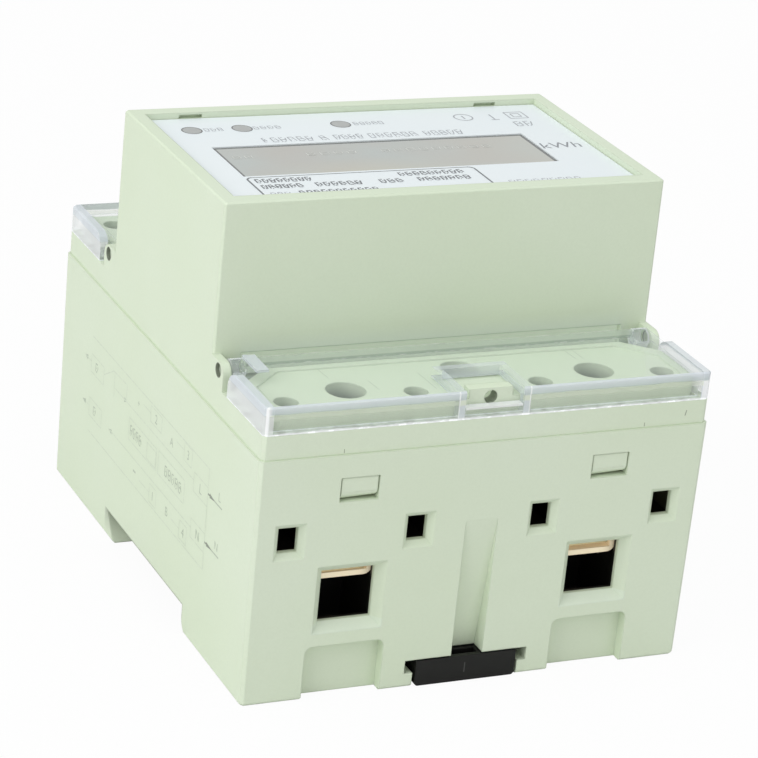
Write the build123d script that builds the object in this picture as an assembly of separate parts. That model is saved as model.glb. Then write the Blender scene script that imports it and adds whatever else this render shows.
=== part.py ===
from build123d import *
from math import atan, degrees
import os

# Single-phase energy meter for a 35 mm rail, lying on its rail side.
# X runs along the rail, Y from the front terminals (-Y) to the rear ones, Z away from the rail.
# The origin is the middle of the bottom face.

# Housing
WIDTH = 76.0
LENGTH = 90.0
HEIGHT = 73.7
WALL = 2.0
CORNER_CHAMFER = 0.6
PARTING_Z = 41.0
BASE_DRAFT = 0.2
UPPER_INSET = 0.3
RIM_HEIGHT = 4.0
BOX_LENGTH = 45.4
BOX_DRAFT = 0.12
TURNED_SIDES = 16

# Rail slot and feet
RAIL_SLOT_DEPTH = 4.65
RAIL_SLOT_FRONT = 18.6
RAIL_SLOT_REAR = 17.7
HOOK_UNDERCUT = 3.4
FOOT_RADIUS = 2.6
SLOT_ROOF = 2.0

# Platforms under the clear covers
PLATFORM_RISE = 2.7
PLATFORM_SIDE_GAP = 0.4
PLATFORM_REAR_SETBACK = 3.7
PLATFORM_CORNER_X = 5.4
PLATFORM_CORNER_Y = 5.0
PLATFORM_ROUND = 1.6
RIB_WIDTH = 1.5
RIB_RISE = 0.25
UNDERCUT_DEPTH = 1.0
UNDERCUT_RISE = 4.2
UNDERCUT_END = 5.0

# Clear covers and their hinges
COVER_TOP_RISE = 1.9
COVER_PLATE = 1.45
COVER_WALL = 1.4
HINGE_SETBACK = 2.7
HINGE_Z_RISE = 2.8
KNUCKLE_RADIUS = 1.65
KNUCKLE_LENGTH = 2.2
PIN_RADIUS = 1.05
PIN_CLEARANCE = 0.05
PIN_END_GAP = 0.6
EAR_THICKNESS = 1.4
EAR_REACH = 4.8
EAR_TOP_RISE = 4.3
EAR_ROUND = 1.9
EAR_SIDE_GAP = 0.3
COVER_SIDE_START = 2.0
COVER_SIDE_ROUND = 2.8
COVER_TAB_INSET = 4.6
COVER_TAB_WIDTH = 2.0
COVER_TAB_LENGTH = 6.2
COVER_TAB_RISE = 0.5
NOTCH_WIDTH = 9.8
NOTCH_DEPTH = 9.1
NOTCH_RIM = 1.2
NOTCH_RIM_DROP = 0.2
NOTCH_LIP = 1.9

# Seal block on each platform
SEAL_WIDTH = 7.4
SEAL_DEPTH = 2.0
SEAL_RISE = 1.5
SEAL_HOLE_RADIUS = 1.1
SEAL_HOLE_DROP = 1.45

# Display recess on top of the box
RECESS_SIDE_RIM = 2.6
RECESS_END_RIM = 2.9
RECESS_DEPTH = 1.0
LEDGE_WIDTH = 1.4
LEDGE_THICKNESS = 2.0
SHEET_THICKNESS = 0.2
WINDOW_THICKNESS = 1.3
SHEET_CLEARANCE = 0.15
DISPLAY_WIDTH_SHARE = 0.7217
DISPLAY_LENGTH_SHARE = 0.356
DISPLAY_X = -1.7
DISPLAY_Y = -1.75
LAMP_Y_SHARE = 0.35
LAMP_X_SHARES = {"com_led": -0.3849, "pulse_led": -0.2711, "power_led": -0.0428}
LAMP_BODY_RADIUS = 2.4
LAMP_BODY_HEIGHT = 4.0
RIM_SLOT_X_SHARES = (-0.3586, 0.3388)
RIM_SLOT_WIDTH = 4.0
RIM_SLOT_HEIGHT = 0.6

# Main terminals
MAIN_X_SHARE = 0.27895
MAIN_SCREW_SETBACK = 8.7
MAIN_ENTRY_Z = 16.9
MAIN_ENTRY_WIDTH = 8.8
MAIN_ENTRY_HEIGHT = 8.6
MAIN_FUNNEL = 1.5
MAIN_FUNNEL_DEPTH = 1.7
MAIN_CHAMBER_WIDTH = 10.3
MAIN_PAD = 1.0
CAGE_WIDTH = 9.8
CAGE_DEPTH = 10.4
CAGE_PLATE = 0.9
CAGE_TOP_PLATE = 2.2
CAGE_RADIUS = 1.4
CAGE_GAP = 0.05
CAGE_TRAVEL = 8.5
CAGE_DROP = {"line_in": 0.0, "neutral_in": 0.6, "line_out": 0.0, "neutral_out": 0.0}
BUSBAR_Z = 19.85
BUSBAR_WIDTH = 7.2
BUSBAR_THICKNESS = 2.0
MAIN_SCREW_RADIUS = 2.5
MAIN_HEAD_RADIUS = 3.5
MAIN_HEAD_HEIGHT = 3.2
MAIN_ACCESS_RADIUS = 3.15
SCREW_CLEARANCE = 0.05
DRIVE_DEPTH = 1.2

# Auxiliary terminals
AUX_OUTER_SHARE = 0.42105
AUX_INNER_SHARE = 0.13947
AUX_SCREW_SETBACK = 6.2
AUX_ENTRY_Z = 27.25
AUX_ENTRY_WIDTH = 3.25
AUX_ENTRY_HEIGHT = 4.1
AUX_FUNNEL = 1.0
AUX_FUNNEL_DEPTH = 1.1
AUX_CHAMBER_WIDTH = 6.2
AUX_CAGE_WIDTH = 5.6
AUX_CAGE_DEPTH = 6.4
AUX_CAGE_PLATE = 0.7
AUX_CAGE_TOP = 1.4
AUX_CAGE_GAP = 0.1
AUX_TRAVEL = 4.1
AUX_TAB_WIDTH = 3.4
AUX_TAB_THICKNESS = 0.7
AUX_TAB_RISE = 3.0
AUX_SCREW_RADIUS = 1.25
AUX_HEAD_RADIUS = 2.2
AUX_HEAD_HEIGHT = 2.0
AUX_ACCESS_RADIUS = 1.9
AUX_FLOOR_DROP = 3.4
AUX_FLOOR = 1.2

# Partitions inside the base
PARTITION_SETBACK = 14.3
PARTITION_THICKNESS = 1.3
PARTITION_TOP_Z = 38.0
CHAMBER_RIB = 0.8

# Snap hooks of the upper housing and their windows in the base
HOOK_OFFSET = 0.1
WINDOW_WIDTH = 6.4
WINDOW_TOP_DROP = 3.8
WINDOW_HEIGHT = 4.0
HOOK_CLEARANCE = 0.2
HOOK_TONGUE = 1.4
HOOK_NOSE_FLAT = 2.4

# Recessed panels and screwdriver ramp on the terminal sides
PANEL_WIDTH = 13.2
PANEL_HEIGHT = 9.0
PANEL_DEPTH = 2.2
PANEL_RADIUS = 1.2
PANEL_BACKING = 1.6
RAMP_WIDTH = 5.4
RAMP_TOP_Z = 28.5
RAMP_DEPTH = 3.2
RAMP_BACKING = 1.5

# Rail latch and its channel
LATCH_WIDTH = 17.3
LATCH_HEIGHT = 4.45
LATCH_BOTTOM = 0.1
LATCH_NOSE = 2.8
LATCH_NOSE_TOP = 3.3
LATCH_NOSE_BOTTOM = 0.9
LATCH_HEAD = 3.4
LATCH_SIDE_GAP = 0.45
LATCH_LIP_HEIGHT = 2.4
LATCH_LIP_WIDTH = 1.45
LATCH_FLANGE_GAP = 0.15
LATCH_TRAVEL = 3.5
LATCH_CORNER = 0.6
LATCH_EYE_WIDTH = 4.4
LATCH_EYE_DEPTH = 1.6
LATCH_LEG_SLOT = 0.9
LATCH_LEG = 1.1
LATCH_LEG_LENGTH = 9.0
STOP_WIDTH = 3.0
STOP_LENGTH = 1.3
STOP_Y = -30.4
STOP_GAP = 0.2

# Housing and board screws
HOUSING_SCREW_SETBACK = 13.3
HOUSING_BOSS_WIDTH = 8.4
HOUSING_HEAD_RADIUS = 3.0
HOUSING_HEAD_HEIGHT = 2.0
HOUSING_SHANK_RADIUS = 1.4
HOUSING_SCREW_LENGTH = 12.0
HOUSING_HEAD_DROP = 4.7
BOARD_SCREW_X_INSET = 7.0
BOARD_SCREW_Y_INSET = 21.0
BOARD_POST_WIDTH = 5.0
BOARD_HEAD_RADIUS = 2.0
BOARD_HEAD_HEIGHT = 1.4
BOARD_SHANK_RADIUS = 1.1
BOARD_SCREW_LENGTH = 7.0

# Boards and what they carry
BOARD_THICKNESS = 1.6
BOARD_SIDE_GAP = 3.0
MAIN_BOARD_SETBACK = 13.5
BOARD_HOLE_CLEARANCE = 0.4
DISPLAY_BOARD_SETBACK = 2.7
GLASS_WIDTH_SHARE = 0.77
GLASS_LENGTH_SHARE = 0.48
GLASS_THICKNESS = 2.2
HOLDER_HEIGHT = 6.0
HOLDER_WALL = 1.2
STACK_GAP = 0.1
POST_WIDTH = 3.0
POST_LENGTH = 5.0
POST_SETBACK = 6.0
SHUNT_LENGTH = 16.0
SHUNT_THICKNESS = 1.4
SENSE_TAB = 1.0
SENSE_WIDTH = 2.4

# Components, placed by shares of the board's half width, of the box's half length inside and of the
# height between the two boards
CORE_WIDTH_SHARE = 0.514
CORE_FRONT_SHARE = 0.68
CORE_REAR_SHARE = 0.1
CORE_HEIGHT_SHARE = 0.69
CORE_LIMB_SHARE = 0.14
WINDING_OVERHANG_SHARE = 0.12
FILM_LOW_SHARE = 0.114
FILM_HIGH_SHARE = 0.629
FILM_FRONT_SHARE = 0.68
FILM_REAR_SHARE = 0.29
FILM_HEIGHT_SHARE = 0.64
CAN_X_SHARES = (0.171, 0.486)
CAN_Y_SHARE = 0.24
CAN_RADIUS_SHARE = 0.125
CAN_HEIGHT_SHARE = 0.6
VARISTOR_X_SHARE = 0.343
VARISTOR_Y_SHARE = 0.82
VARISTOR_RADIUS_SHARE = 0.25
VARISTOR_THICKNESS = 3.6
VARISTOR_LEAD = 0.6
HEADER_X_SHARE = 0.32
HEADER_Y_SHARE = 0.68
HEADER_PINS = 6
HEADER_PITCH = 2.54
HEADER_STRIP = 2.5
HEADER_PIN = 0.64
METERING_X_SHARE = 0.77
METERING_Y_SHARE = 0.29
METERING_WIDTH = 5.3
METERING_LENGTH = 10.2
BUS_X_SHARE = 0.686
BUS_Y_SHARE = 0.68
BUS_WIDTH = 4.0
BUS_LENGTH = 5.0
PULSE_X_SHARE = 0.286
PULSE_WIDTH = 6.4
PULSE_LENGTH = 4.6
CHIP_HEIGHT = 1.5
CHIP_STAND = 0.15
CHIP_LEG = 0.4
CHIP_LEG_REACH = 1.0

# Heights and faces that follow from the sizes above
FLOOR_Z = RAIL_SLOT_DEPTH + SLOT_ROOF
RIM_Z = PARTING_Z + RIM_HEIGHT
PLATFORM_Z = RIM_Z + PLATFORM_RISE
COVER_TOP_Z = PLATFORM_Z + COVER_TOP_RISE
COVER_UNDER_Z = COVER_TOP_Z - COVER_PLATE
SIDE_X = WIDTH / 2 - UPPER_INSET
FACE_Y = LENGTH / 2
UPPER_FACE_Y = FACE_Y - UPPER_INSET
BOX_Y = BOX_LENGTH / 2
PLATFORM_X = SIDE_X - COVER_WALL - PLATFORM_SIDE_GAP
PLATFORM_FRONT_Y = UPPER_FACE_Y - COVER_WALL - PLATFORM_SIDE_GAP + 0.2
PLATFORM_REAR_Y = BOX_Y + PLATFORM_REAR_SETBACK
MAIN_X = MAIN_X_SHARE * WIDTH
AUX_XS = [share * WIDTH for share in (-AUX_OUTER_SHARE, -AUX_INNER_SHARE, AUX_INNER_SHARE, AUX_OUTER_SHARE)]
LAMP_XS = {name: share * WIDTH for name, share in LAMP_X_SHARES.items()}
HOOK_X = MAIN_X + HOOK_OFFSET
HINGE_Y = BOX_Y + HINGE_SETBACK
HINGE_Z = RIM_Z + HINGE_Z_RISE
EAR_FRONT_Y = BOX_Y + EAR_REACH
RECESS_WIDTH = 2 * SIDE_X - 2 * RECESS_SIDE_RIM
RECESS_LENGTH = BOX_LENGTH - 2 * RECESS_END_RIM
DISPLAY_WIDTH = DISPLAY_WIDTH_SHARE * WIDTH
DISPLAY_LENGTH = DISPLAY_LENGTH_SHARE * RECESS_LENGTH
GLASS_WIDTH = GLASS_WIDTH_SHARE * WIDTH
GLASS_LENGTH = GLASS_LENGTH_SHARE * RECESS_LENGTH
LAMP_Y = LAMP_Y_SHARE * RECESS_LENGTH
SHEET_TOP_Z = HEIGHT - RECESS_DEPTH
LEDGE_Z = SHEET_TOP_Z - SHEET_THICKNESS - WINDOW_THICKNESS
MAIN_Y = FACE_Y - MAIN_SCREW_SETBACK
AUX_Y = FACE_Y - AUX_SCREW_SETBACK
PARTITION_Y = FACE_Y - PARTITION_SETBACK
BUSBAR_TOP_Z = BUSBAR_Z + BUSBAR_THICKNESS
CAGE_BOTTOM_Z = BUSBAR_Z - CAGE_GAP - CAGE_PLATE
CAGE_TOP_UNDER_Z = BUSBAR_TOP_Z + CAGE_TRAVEL + 0.15
CAGE_TOP_Z = CAGE_TOP_UNDER_Z + CAGE_TOP_PLATE
MAIN_HEAD_Z = CAGE_TOP_Z + 0.4
AUX_TAB_Z = AUX_ENTRY_Z + AUX_TAB_RISE
AUX_CAGE_BOTTOM_Z = AUX_TAB_Z - AUX_CAGE_GAP - AUX_CAGE_PLATE
AUX_CAGE_UNDER_Z = AUX_TAB_Z + AUX_TAB_THICKNESS + AUX_TRAVEL + 0.15
AUX_CAGE_TOP_Z = AUX_CAGE_UNDER_Z + AUX_CAGE_TOP
AUX_HEAD_Z = AUX_CAGE_TOP_Z + 0.4
AUX_FLOOR_Z = AUX_ENTRY_Z - AUX_FLOOR_DROP
HOUSING_SCREW_Y = FACE_Y - HOUSING_SCREW_SETBACK
HOUSING_HEAD_Z = PLATFORM_Z - HOUSING_HEAD_DROP
BOARD_SCREW_X = WIDTH / 2 - BOARD_SCREW_X_INSET
BOARD_SCREW_Y = LENGTH / 2 - BOARD_SCREW_Y_INSET
BOARD_SCREW_PLACES = [(-BOARD_SCREW_X, -BOARD_SCREW_Y), (BOARD_SCREW_X, BOARD_SCREW_Y)]
MAIN_BOARD_X = WIDTH / 2 - BOARD_SIDE_GAP
MAIN_BOARD_Y = LENGTH / 2 - MAIN_BOARD_SETBACK
DISPLAY_BOARD_Y = BOX_Y - DISPLAY_BOARD_SETBACK
POST_Y = DISPLAY_BOARD_Y - POST_SETBACK
MAIN_BOARD_Z = PARTITION_TOP_Z
MAIN_BOARD_TOP_Z = MAIN_BOARD_Z + BOARD_THICKNESS
MAIN_TUBE_Z = MAIN_HEAD_Z + MAIN_HEAD_HEIGHT + 0.15
AUX_TUBE_Z = AUX_HEAD_Z + AUX_HEAD_HEIGHT + 0.15
WINDOW_TOP_Z = PARTING_Z - WINDOW_TOP_DROP
WINDOW_BOTTOM_Z = WINDOW_TOP_Z - WINDOW_HEIGHT
CHANNEL_X = LATCH_WIDTH / 2 + LATCH_SIDE_GAP
CHANNEL_WIDE_X = CHANNEL_X + LATCH_LIP_WIDTH
GLASS_TOP_Z = LEDGE_Z - STACK_GAP
HOLDER_TOP_Z = GLASS_TOP_Z - GLASS_THICKNESS / 2
DISPLAY_BOARD_TOP_Z = GLASS_TOP_Z - GLASS_THICKNESS - HOLDER_HEIGHT
DISPLAY_BOARD_Z = DISPLAY_BOARD_TOP_Z - BOARD_THICKNESS
BOARD_SPACE = DISPLAY_BOARD_Z - MAIN_BOARD_TOP_Z
INSIDE_Y = BOX_Y - WALL

HALF_TURN = Rot(0, 0, 180)
MAIN_TERMINALS = {
    "line_in": (-MAIN_X, -MAIN_Y),
    "neutral_in": (MAIN_X, -MAIN_Y),
    "line_out": (-MAIN_X, MAIN_Y),
    "neutral_out": (MAIN_X, MAIN_Y),
}


def block(x_range, y_range, z_range):
    """A box between two corners."""
    size = [high - low for low, high in (x_range, y_range, z_range)]
    middle = [(low + high) / 2 for low, high in (x_range, y_range, z_range)]
    return Pos(*middle) * Box(*size)


def post(x, y, radius, z_low, z_high):
    """A vertical cylinder."""
    return Pos(x, y, z_low) * Cylinder(radius, z_high - z_low, align=(Align.CENTER, Align.CENTER, Align.MIN))


def turned(x, y, radius, z_low, z_high, hole=False):
    """A vertical column of TURNED_SIDES flats for a small turned piece, or round one for its hole."""
    outline = Pos(x, y, z_low) * RegularPolygon(radius, TURNED_SIDES, major_radius=not hole)
    return extrude(outline, z_high - z_low)


def across(points, x_low, x_high):
    """A prism along X with its outline given as (y, z) points."""
    outline = Plane.YZ.offset(x_low) * make_face(Polyline(*points, close=True))
    return extrude(outline, x_high - x_low)


def both_ends(solid):
    """A feature of the front end, repeated at the rear end."""
    return solid + HALF_TURN * solid


def wire_entry(x, z, width, height, funnel, funnel_depth, reach):
    """Cutter for a rectangular wire entry with a funnel mouth in the front face."""
    wide = width + 2 * funnel
    high = height + 2 * funnel
    mouth = Wedge(wide, funnel_depth, high, funnel, funnel, funnel + width, funnel + height)
    mouth = Pos(x, -FACE_Y + funnel_depth / 2, z) * mouth
    lead = block((x - wide / 2, x + wide / 2), (-FACE_Y - 0.5, -FACE_Y), (z - high / 2, z + high / 2))
    x_range = (x - width / 2, x + width / 2)
    return mouth + lead + block(x_range, (-FACE_Y + funnel_depth, -FACE_Y + reach), (z - height / 2, z + height / 2))


def rail_slot():
    """Cutter for the rail slot: a rounded front foot, a flat roof and an undercut rear hook."""
    front = -RAIL_SLOT_FRONT
    hook_tip = RAIL_SLOT_REAR - HOOK_UNDERCUT
    lean = FOOT_RADIUS * (1 - 2**-0.5)
    outline = [
        Line((front - FOOT_RADIUS, 0), (front - FOOT_RADIUS, -1)),
        Line((front - FOOT_RADIUS, -1), (hook_tip, -1)),
        Line((hook_tip, -1), (hook_tip, 0)),
        Line((hook_tip, 0), (RAIL_SLOT_REAR, RAIL_SLOT_DEPTH)),
        Line((RAIL_SLOT_REAR, RAIL_SLOT_DEPTH), (front, RAIL_SLOT_DEPTH)),
        Line((front, RAIL_SLOT_DEPTH), (front, FOOT_RADIUS)),
        ThreePointArc((front, FOOT_RADIUS), (front - lean, lean), (front - FOOT_RADIUS, 0)),
    ]
    profile = Plane.YZ.offset(-WIDTH) * make_face(Curve() + outline)
    return extrude(profile, 2 * WIDTH)


def latch_channel():
    """Cutter for the T-shaped channel that the rail latch slides in."""
    y_range = (-FACE_Y - 1, -RAIL_SLOT_FRONT + 0.5)
    wide = block((-CHANNEL_WIDE_X, CHANNEL_WIDE_X), y_range, (LATCH_LIP_HEIGHT, RAIL_SLOT_DEPTH))
    narrow = block((-CHANNEL_X, CHANNEL_X), y_range, (-1, LATCH_LIP_HEIGHT))
    return wide + narrow


def recessed_panel(x):
    """Cutter for the recess with rounded shoulders below a main wire entry."""
    outline = RectangleRounded(PANEL_WIDTH, 2 * PANEL_HEIGHT, PANEL_RADIUS)
    face = Plane.XZ.offset(FACE_Y) * Pos(x, 0) * outline
    return extrude(face, -PANEL_DEPTH) + extrude(face, 1)


def ramp(depth, width, z_low, z_high):
    """A wedge behind the front face that is thin at the top and deep at the bottom."""
    points = [(-FACE_Y - 0.5, z_low), (-FACE_Y + depth, z_low), (-FACE_Y, z_high), (-FACE_Y - 0.5, z_high)]
    return across(points, -width / 2, width / 2)


def terminal_walls():
    """Chamber walls, entry pads and floors behind the front terminals."""
    inside = -FACE_Y + WALL - BASE_DRAFT
    half_chamber = MAIN_CHAMBER_WIDTH / 2
    rib_range = (inside, -PARTITION_Y)
    walls = block(
        (-WIDTH / 2 + WALL, WIDTH / 2 - WALL),
        (-PARTITION_Y, -PARTITION_Y + PARTITION_THICKNESS),
        (FLOOR_Z, PARTITION_TOP_Z),
    )
    for x in (-MAIN_X, MAIN_X):
        for side in (-1, 1):
            edge = x + side * half_chamber
            rib = sorted((edge, edge + side * CHAMBER_RIB))
            walls += block(rib, rib_range, (FLOOR_Z, PARTITION_TOP_Z))
        chamber = (x - half_chamber, x + half_chamber)
        walls += block(chamber, (inside, inside + MAIN_PAD + BASE_DRAFT), (FLOOR_Z, CAGE_TOP_UNDER_Z))
        panel = (x - PANEL_WIDTH / 2 - CHAMBER_RIB, x + PANEL_WIDTH / 2 + CHAMBER_RIB)
        backing = -FACE_Y + PANEL_DEPTH + PANEL_BACKING
        walls += block(panel, (inside, backing), (FLOOR_Z, CAGE_BOTTOM_Z - CAGE_TRAVEL - 0.3))
    for x in AUX_XS:
        half = AUX_CHAMBER_WIDTH / 2 + CHAMBER_RIB / 2
        walls += block((x - half, x + half), rib_range, (AUX_FLOOR_Z - AUX_FLOOR, AUX_FLOOR_Z))
    for x in (AUX_XS[1], AUX_XS[2]):
        inner = x - (1 if x > 0 else -1) * AUX_CHAMBER_WIDTH / 2
        rib = sorted((inner, inner - (1 if x > 0 else -1) * CHAMBER_RIB))
        walls += block(rib, rib_range, (AUX_FLOOR_Z - AUX_FLOOR, PARTITION_TOP_Z))
    backing = [
        (inside, FLOOR_Z),
        (-FACE_Y + RAMP_DEPTH + RAMP_BACKING, FLOOR_Z),
        (inside + RAMP_BACKING, RAMP_TOP_Z),
        (inside, RAMP_TOP_Z),
    ]
    half_ramp = RAMP_WIDTH / 2 + RAMP_BACKING
    return walls + across(backing, -half_ramp, half_ramp)


def busbar_gate(x):
    """Cutter for the open-topped gate that a busbar drops into in a partition."""
    half = BUSBAR_WIDTH / 2 + 0.1
    y_range = (-PARTITION_Y - 0.5, -PARTITION_Y + PARTITION_THICKNESS + 0.5)
    return block((x - half, x + half), y_range, (BUSBAR_Z, PARTITION_TOP_Z + 1))


def base_housing():
    draft = degrees(atan(BASE_DRAFT / PARTING_Z))
    body = extrude(Rectangle(WIDTH - 2 * BASE_DRAFT, LENGTH - 2 * BASE_DRAFT), PARTING_Z, taper=-draft)
    upright = [edge for edge in body.edges() if edge.bounding_box().size.Z > PARTING_Z / 2]
    body = chamfer(upright, CORNER_CHAMFER)
    body = chamfer(body.faces().sort_by(Axis.Z)[0].edges(), 0.4)
    cavity = Rectangle(WIDTH - 2 * WALL, LENGTH - 2 * WALL)
    body -= Pos(0, 0, FLOOR_Z) * extrude(cavity, PARTING_Z)
    body += both_ends(terminal_walls())
    half = HOUSING_BOSS_WIDTH / 2
    for y in (-HOUSING_SCREW_Y, HOUSING_SCREW_Y):
        body += block((-half, half), (y - half, y + half), (FLOOR_Z, PARTING_Z))
    half = BOARD_POST_WIDTH / 2
    for x in (-BOARD_SCREW_X, BOARD_SCREW_X):
        for y in (-BOARD_SCREW_Y, BOARD_SCREW_Y):
            body += block((x - half, x + half), (y - half, y + half), (FLOOR_Z, PARTITION_TOP_Z))
    cuts = [rail_slot(), latch_channel(), ramp(RAMP_DEPTH, RAMP_WIDTH, RAIL_SLOT_DEPTH - 0.01, RAMP_TOP_Z)]
    entries = []
    for x in (-MAIN_X, MAIN_X):
        entries.append(
            wire_entry(
                x,
                MAIN_ENTRY_Z,
                MAIN_ENTRY_WIDTH,
                MAIN_ENTRY_HEIGHT,
                MAIN_FUNNEL,
                MAIN_FUNNEL_DEPTH,
                WALL + MAIN_PAD + 1,
            )
        )
        entries.append(recessed_panel(x))
        entries.append(busbar_gate(x))
    for x in AUX_XS:
        entries.append(
            wire_entry(
                x, AUX_ENTRY_Z, AUX_ENTRY_WIDTH, AUX_ENTRY_HEIGHT, AUX_FUNNEL, AUX_FUNNEL_DEPTH, WALL + 1
            )
        )
    for x in (-HOOK_X, HOOK_X):
        half = WINDOW_WIDTH / 2
        entries.append(block((x - half, x + half), (-FACE_Y - 1, -FACE_Y + WALL + 1), (WINDOW_BOTTOM_Z, WINDOW_TOP_Z)))
    for cut in entries:
        cuts.append(cut)
        cuts.append(HALF_TURN * cut)
    pilot = HOUSING_SHANK_RADIUS + SCREW_CLEARANCE
    for y in (-HOUSING_SCREW_Y, HOUSING_SCREW_Y):
        cuts.append(turned(0, y, pilot, HOUSING_HEAD_Z - HOUSING_SCREW_LENGTH - 1, PARTING_Z + 1, hole=True))
    pilot = BOARD_SHANK_RADIUS + SCREW_CLEARANCE
    low = MAIN_BOARD_TOP_Z - BOARD_SCREW_LENGTH - 0.5
    for x, y in BOARD_SCREW_PLACES:
        cuts.append(turned(x, y, pilot, low, PARTITION_TOP_Z + 1, hole=True))
    for cut in cuts:
        body -= cut
    stop_y = (STOP_Y - STOP_LENGTH / 2, STOP_Y + STOP_LENGTH / 2)
    stop_z = (LATCH_LIP_HEIGHT + 0.4, RAIL_SLOT_DEPTH + 0.5)
    return body + block((-STOP_WIDTH / 2, STOP_WIDTH / 2), stop_y, stop_z)


def platform(front_y, rear_y, half_width, z_low, z_high):
    """Raised step with its two rear corners cut back beside the hinges."""
    corner = (half_width - PLATFORM_CORNER_X, -rear_y - PLATFORM_CORNER_Y)
    points = [
        (-half_width, -front_y),
        (half_width, -front_y),
        (half_width, corner[1]),
        (corner[0], -rear_y),
        (-corner[0], -rear_y),
        (-half_width, corner[1]),
    ]
    return Pos(0, 0, z_low) * extrude(make_face(Polyline(*points, close=True)), z_high - z_low)


def snap_hook(x):
    """Tongue that hangs inside the base wall, with a ramped nose that shows in the window."""
    half = WINDOW_WIDTH / 2 - HOOK_CLEARANCE
    back = -FACE_Y + WALL + HOOK_CLEARANCE
    top = WINDOW_TOP_Z - HOOK_CLEARANCE / 2
    low = WINDOW_BOTTOM_Z + 0.5
    nose = [
        (back, top),
        (-FACE_Y + HOOK_CLEARANCE, top),
        (-FACE_Y + HOOK_CLEARANCE, top - HOOK_NOSE_FLAT),
        (back, low),
    ]
    tongue = block((x - half, x + half), (back, back + HOOK_TONGUE), (low, RIM_Z - WALL + 0.5))
    return tongue + across(nose, x - half, x + half)


def hinge_ear():
    """Right-hand ear beside the display box, with a bored hole for the cover's pin."""
    x_range = (SIDE_X - EAR_THICKNESS, SIDE_X)
    ear = block(x_range, (-EAR_FRONT_Y, -BOX_Y + 0.5), (RIM_Z - 0.5, RIM_Z + EAR_TOP_RISE))
    front_top = ear.edges().filter_by(Axis.X).group_by(Axis.Z)[-1].sort_by(Axis.Y)[0]
    return fillet(front_top, EAR_ROUND)


def access_guide(x, y, radius, z_low):
    """Square screwdriver guide that also keeps the terminal screw's head down."""
    half = radius + WALL / 2
    return block((x - half, x + half), (y - half, y + half), (z_low, PLATFORM_Z - WALL / 2))


def upper_front():
    """Everything that stands on the front half of the upper housing's rim."""
    body = platform(PLATFORM_FRONT_Y, PLATFORM_REAR_Y, PLATFORM_X, RIM_Z - WALL, PLATFORM_Z + RIB_RISE)
    body = fillet(body.edges().filter_by(Axis.Z), PLATFORM_ROUND)
    inside_rib = platform(
        PLATFORM_FRONT_Y + 1, PLATFORM_REAR_Y + RIB_WIDTH, PLATFORM_X - RIB_WIDTH, PLATFORM_Z, PLATFORM_Z + 1
    )
    body -= inside_rib
    body += block(
        (-SEAL_WIDTH / 2, SEAL_WIDTH / 2),
        (-PLATFORM_FRONT_Y, -PLATFORM_FRONT_Y + SEAL_DEPTH),
        (PLATFORM_Z - 0.5, PLATFORM_Z + SEAL_RISE),
    )
    ear = hinge_ear()
    return body + ear + mirror(ear, Plane.YZ)


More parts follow.
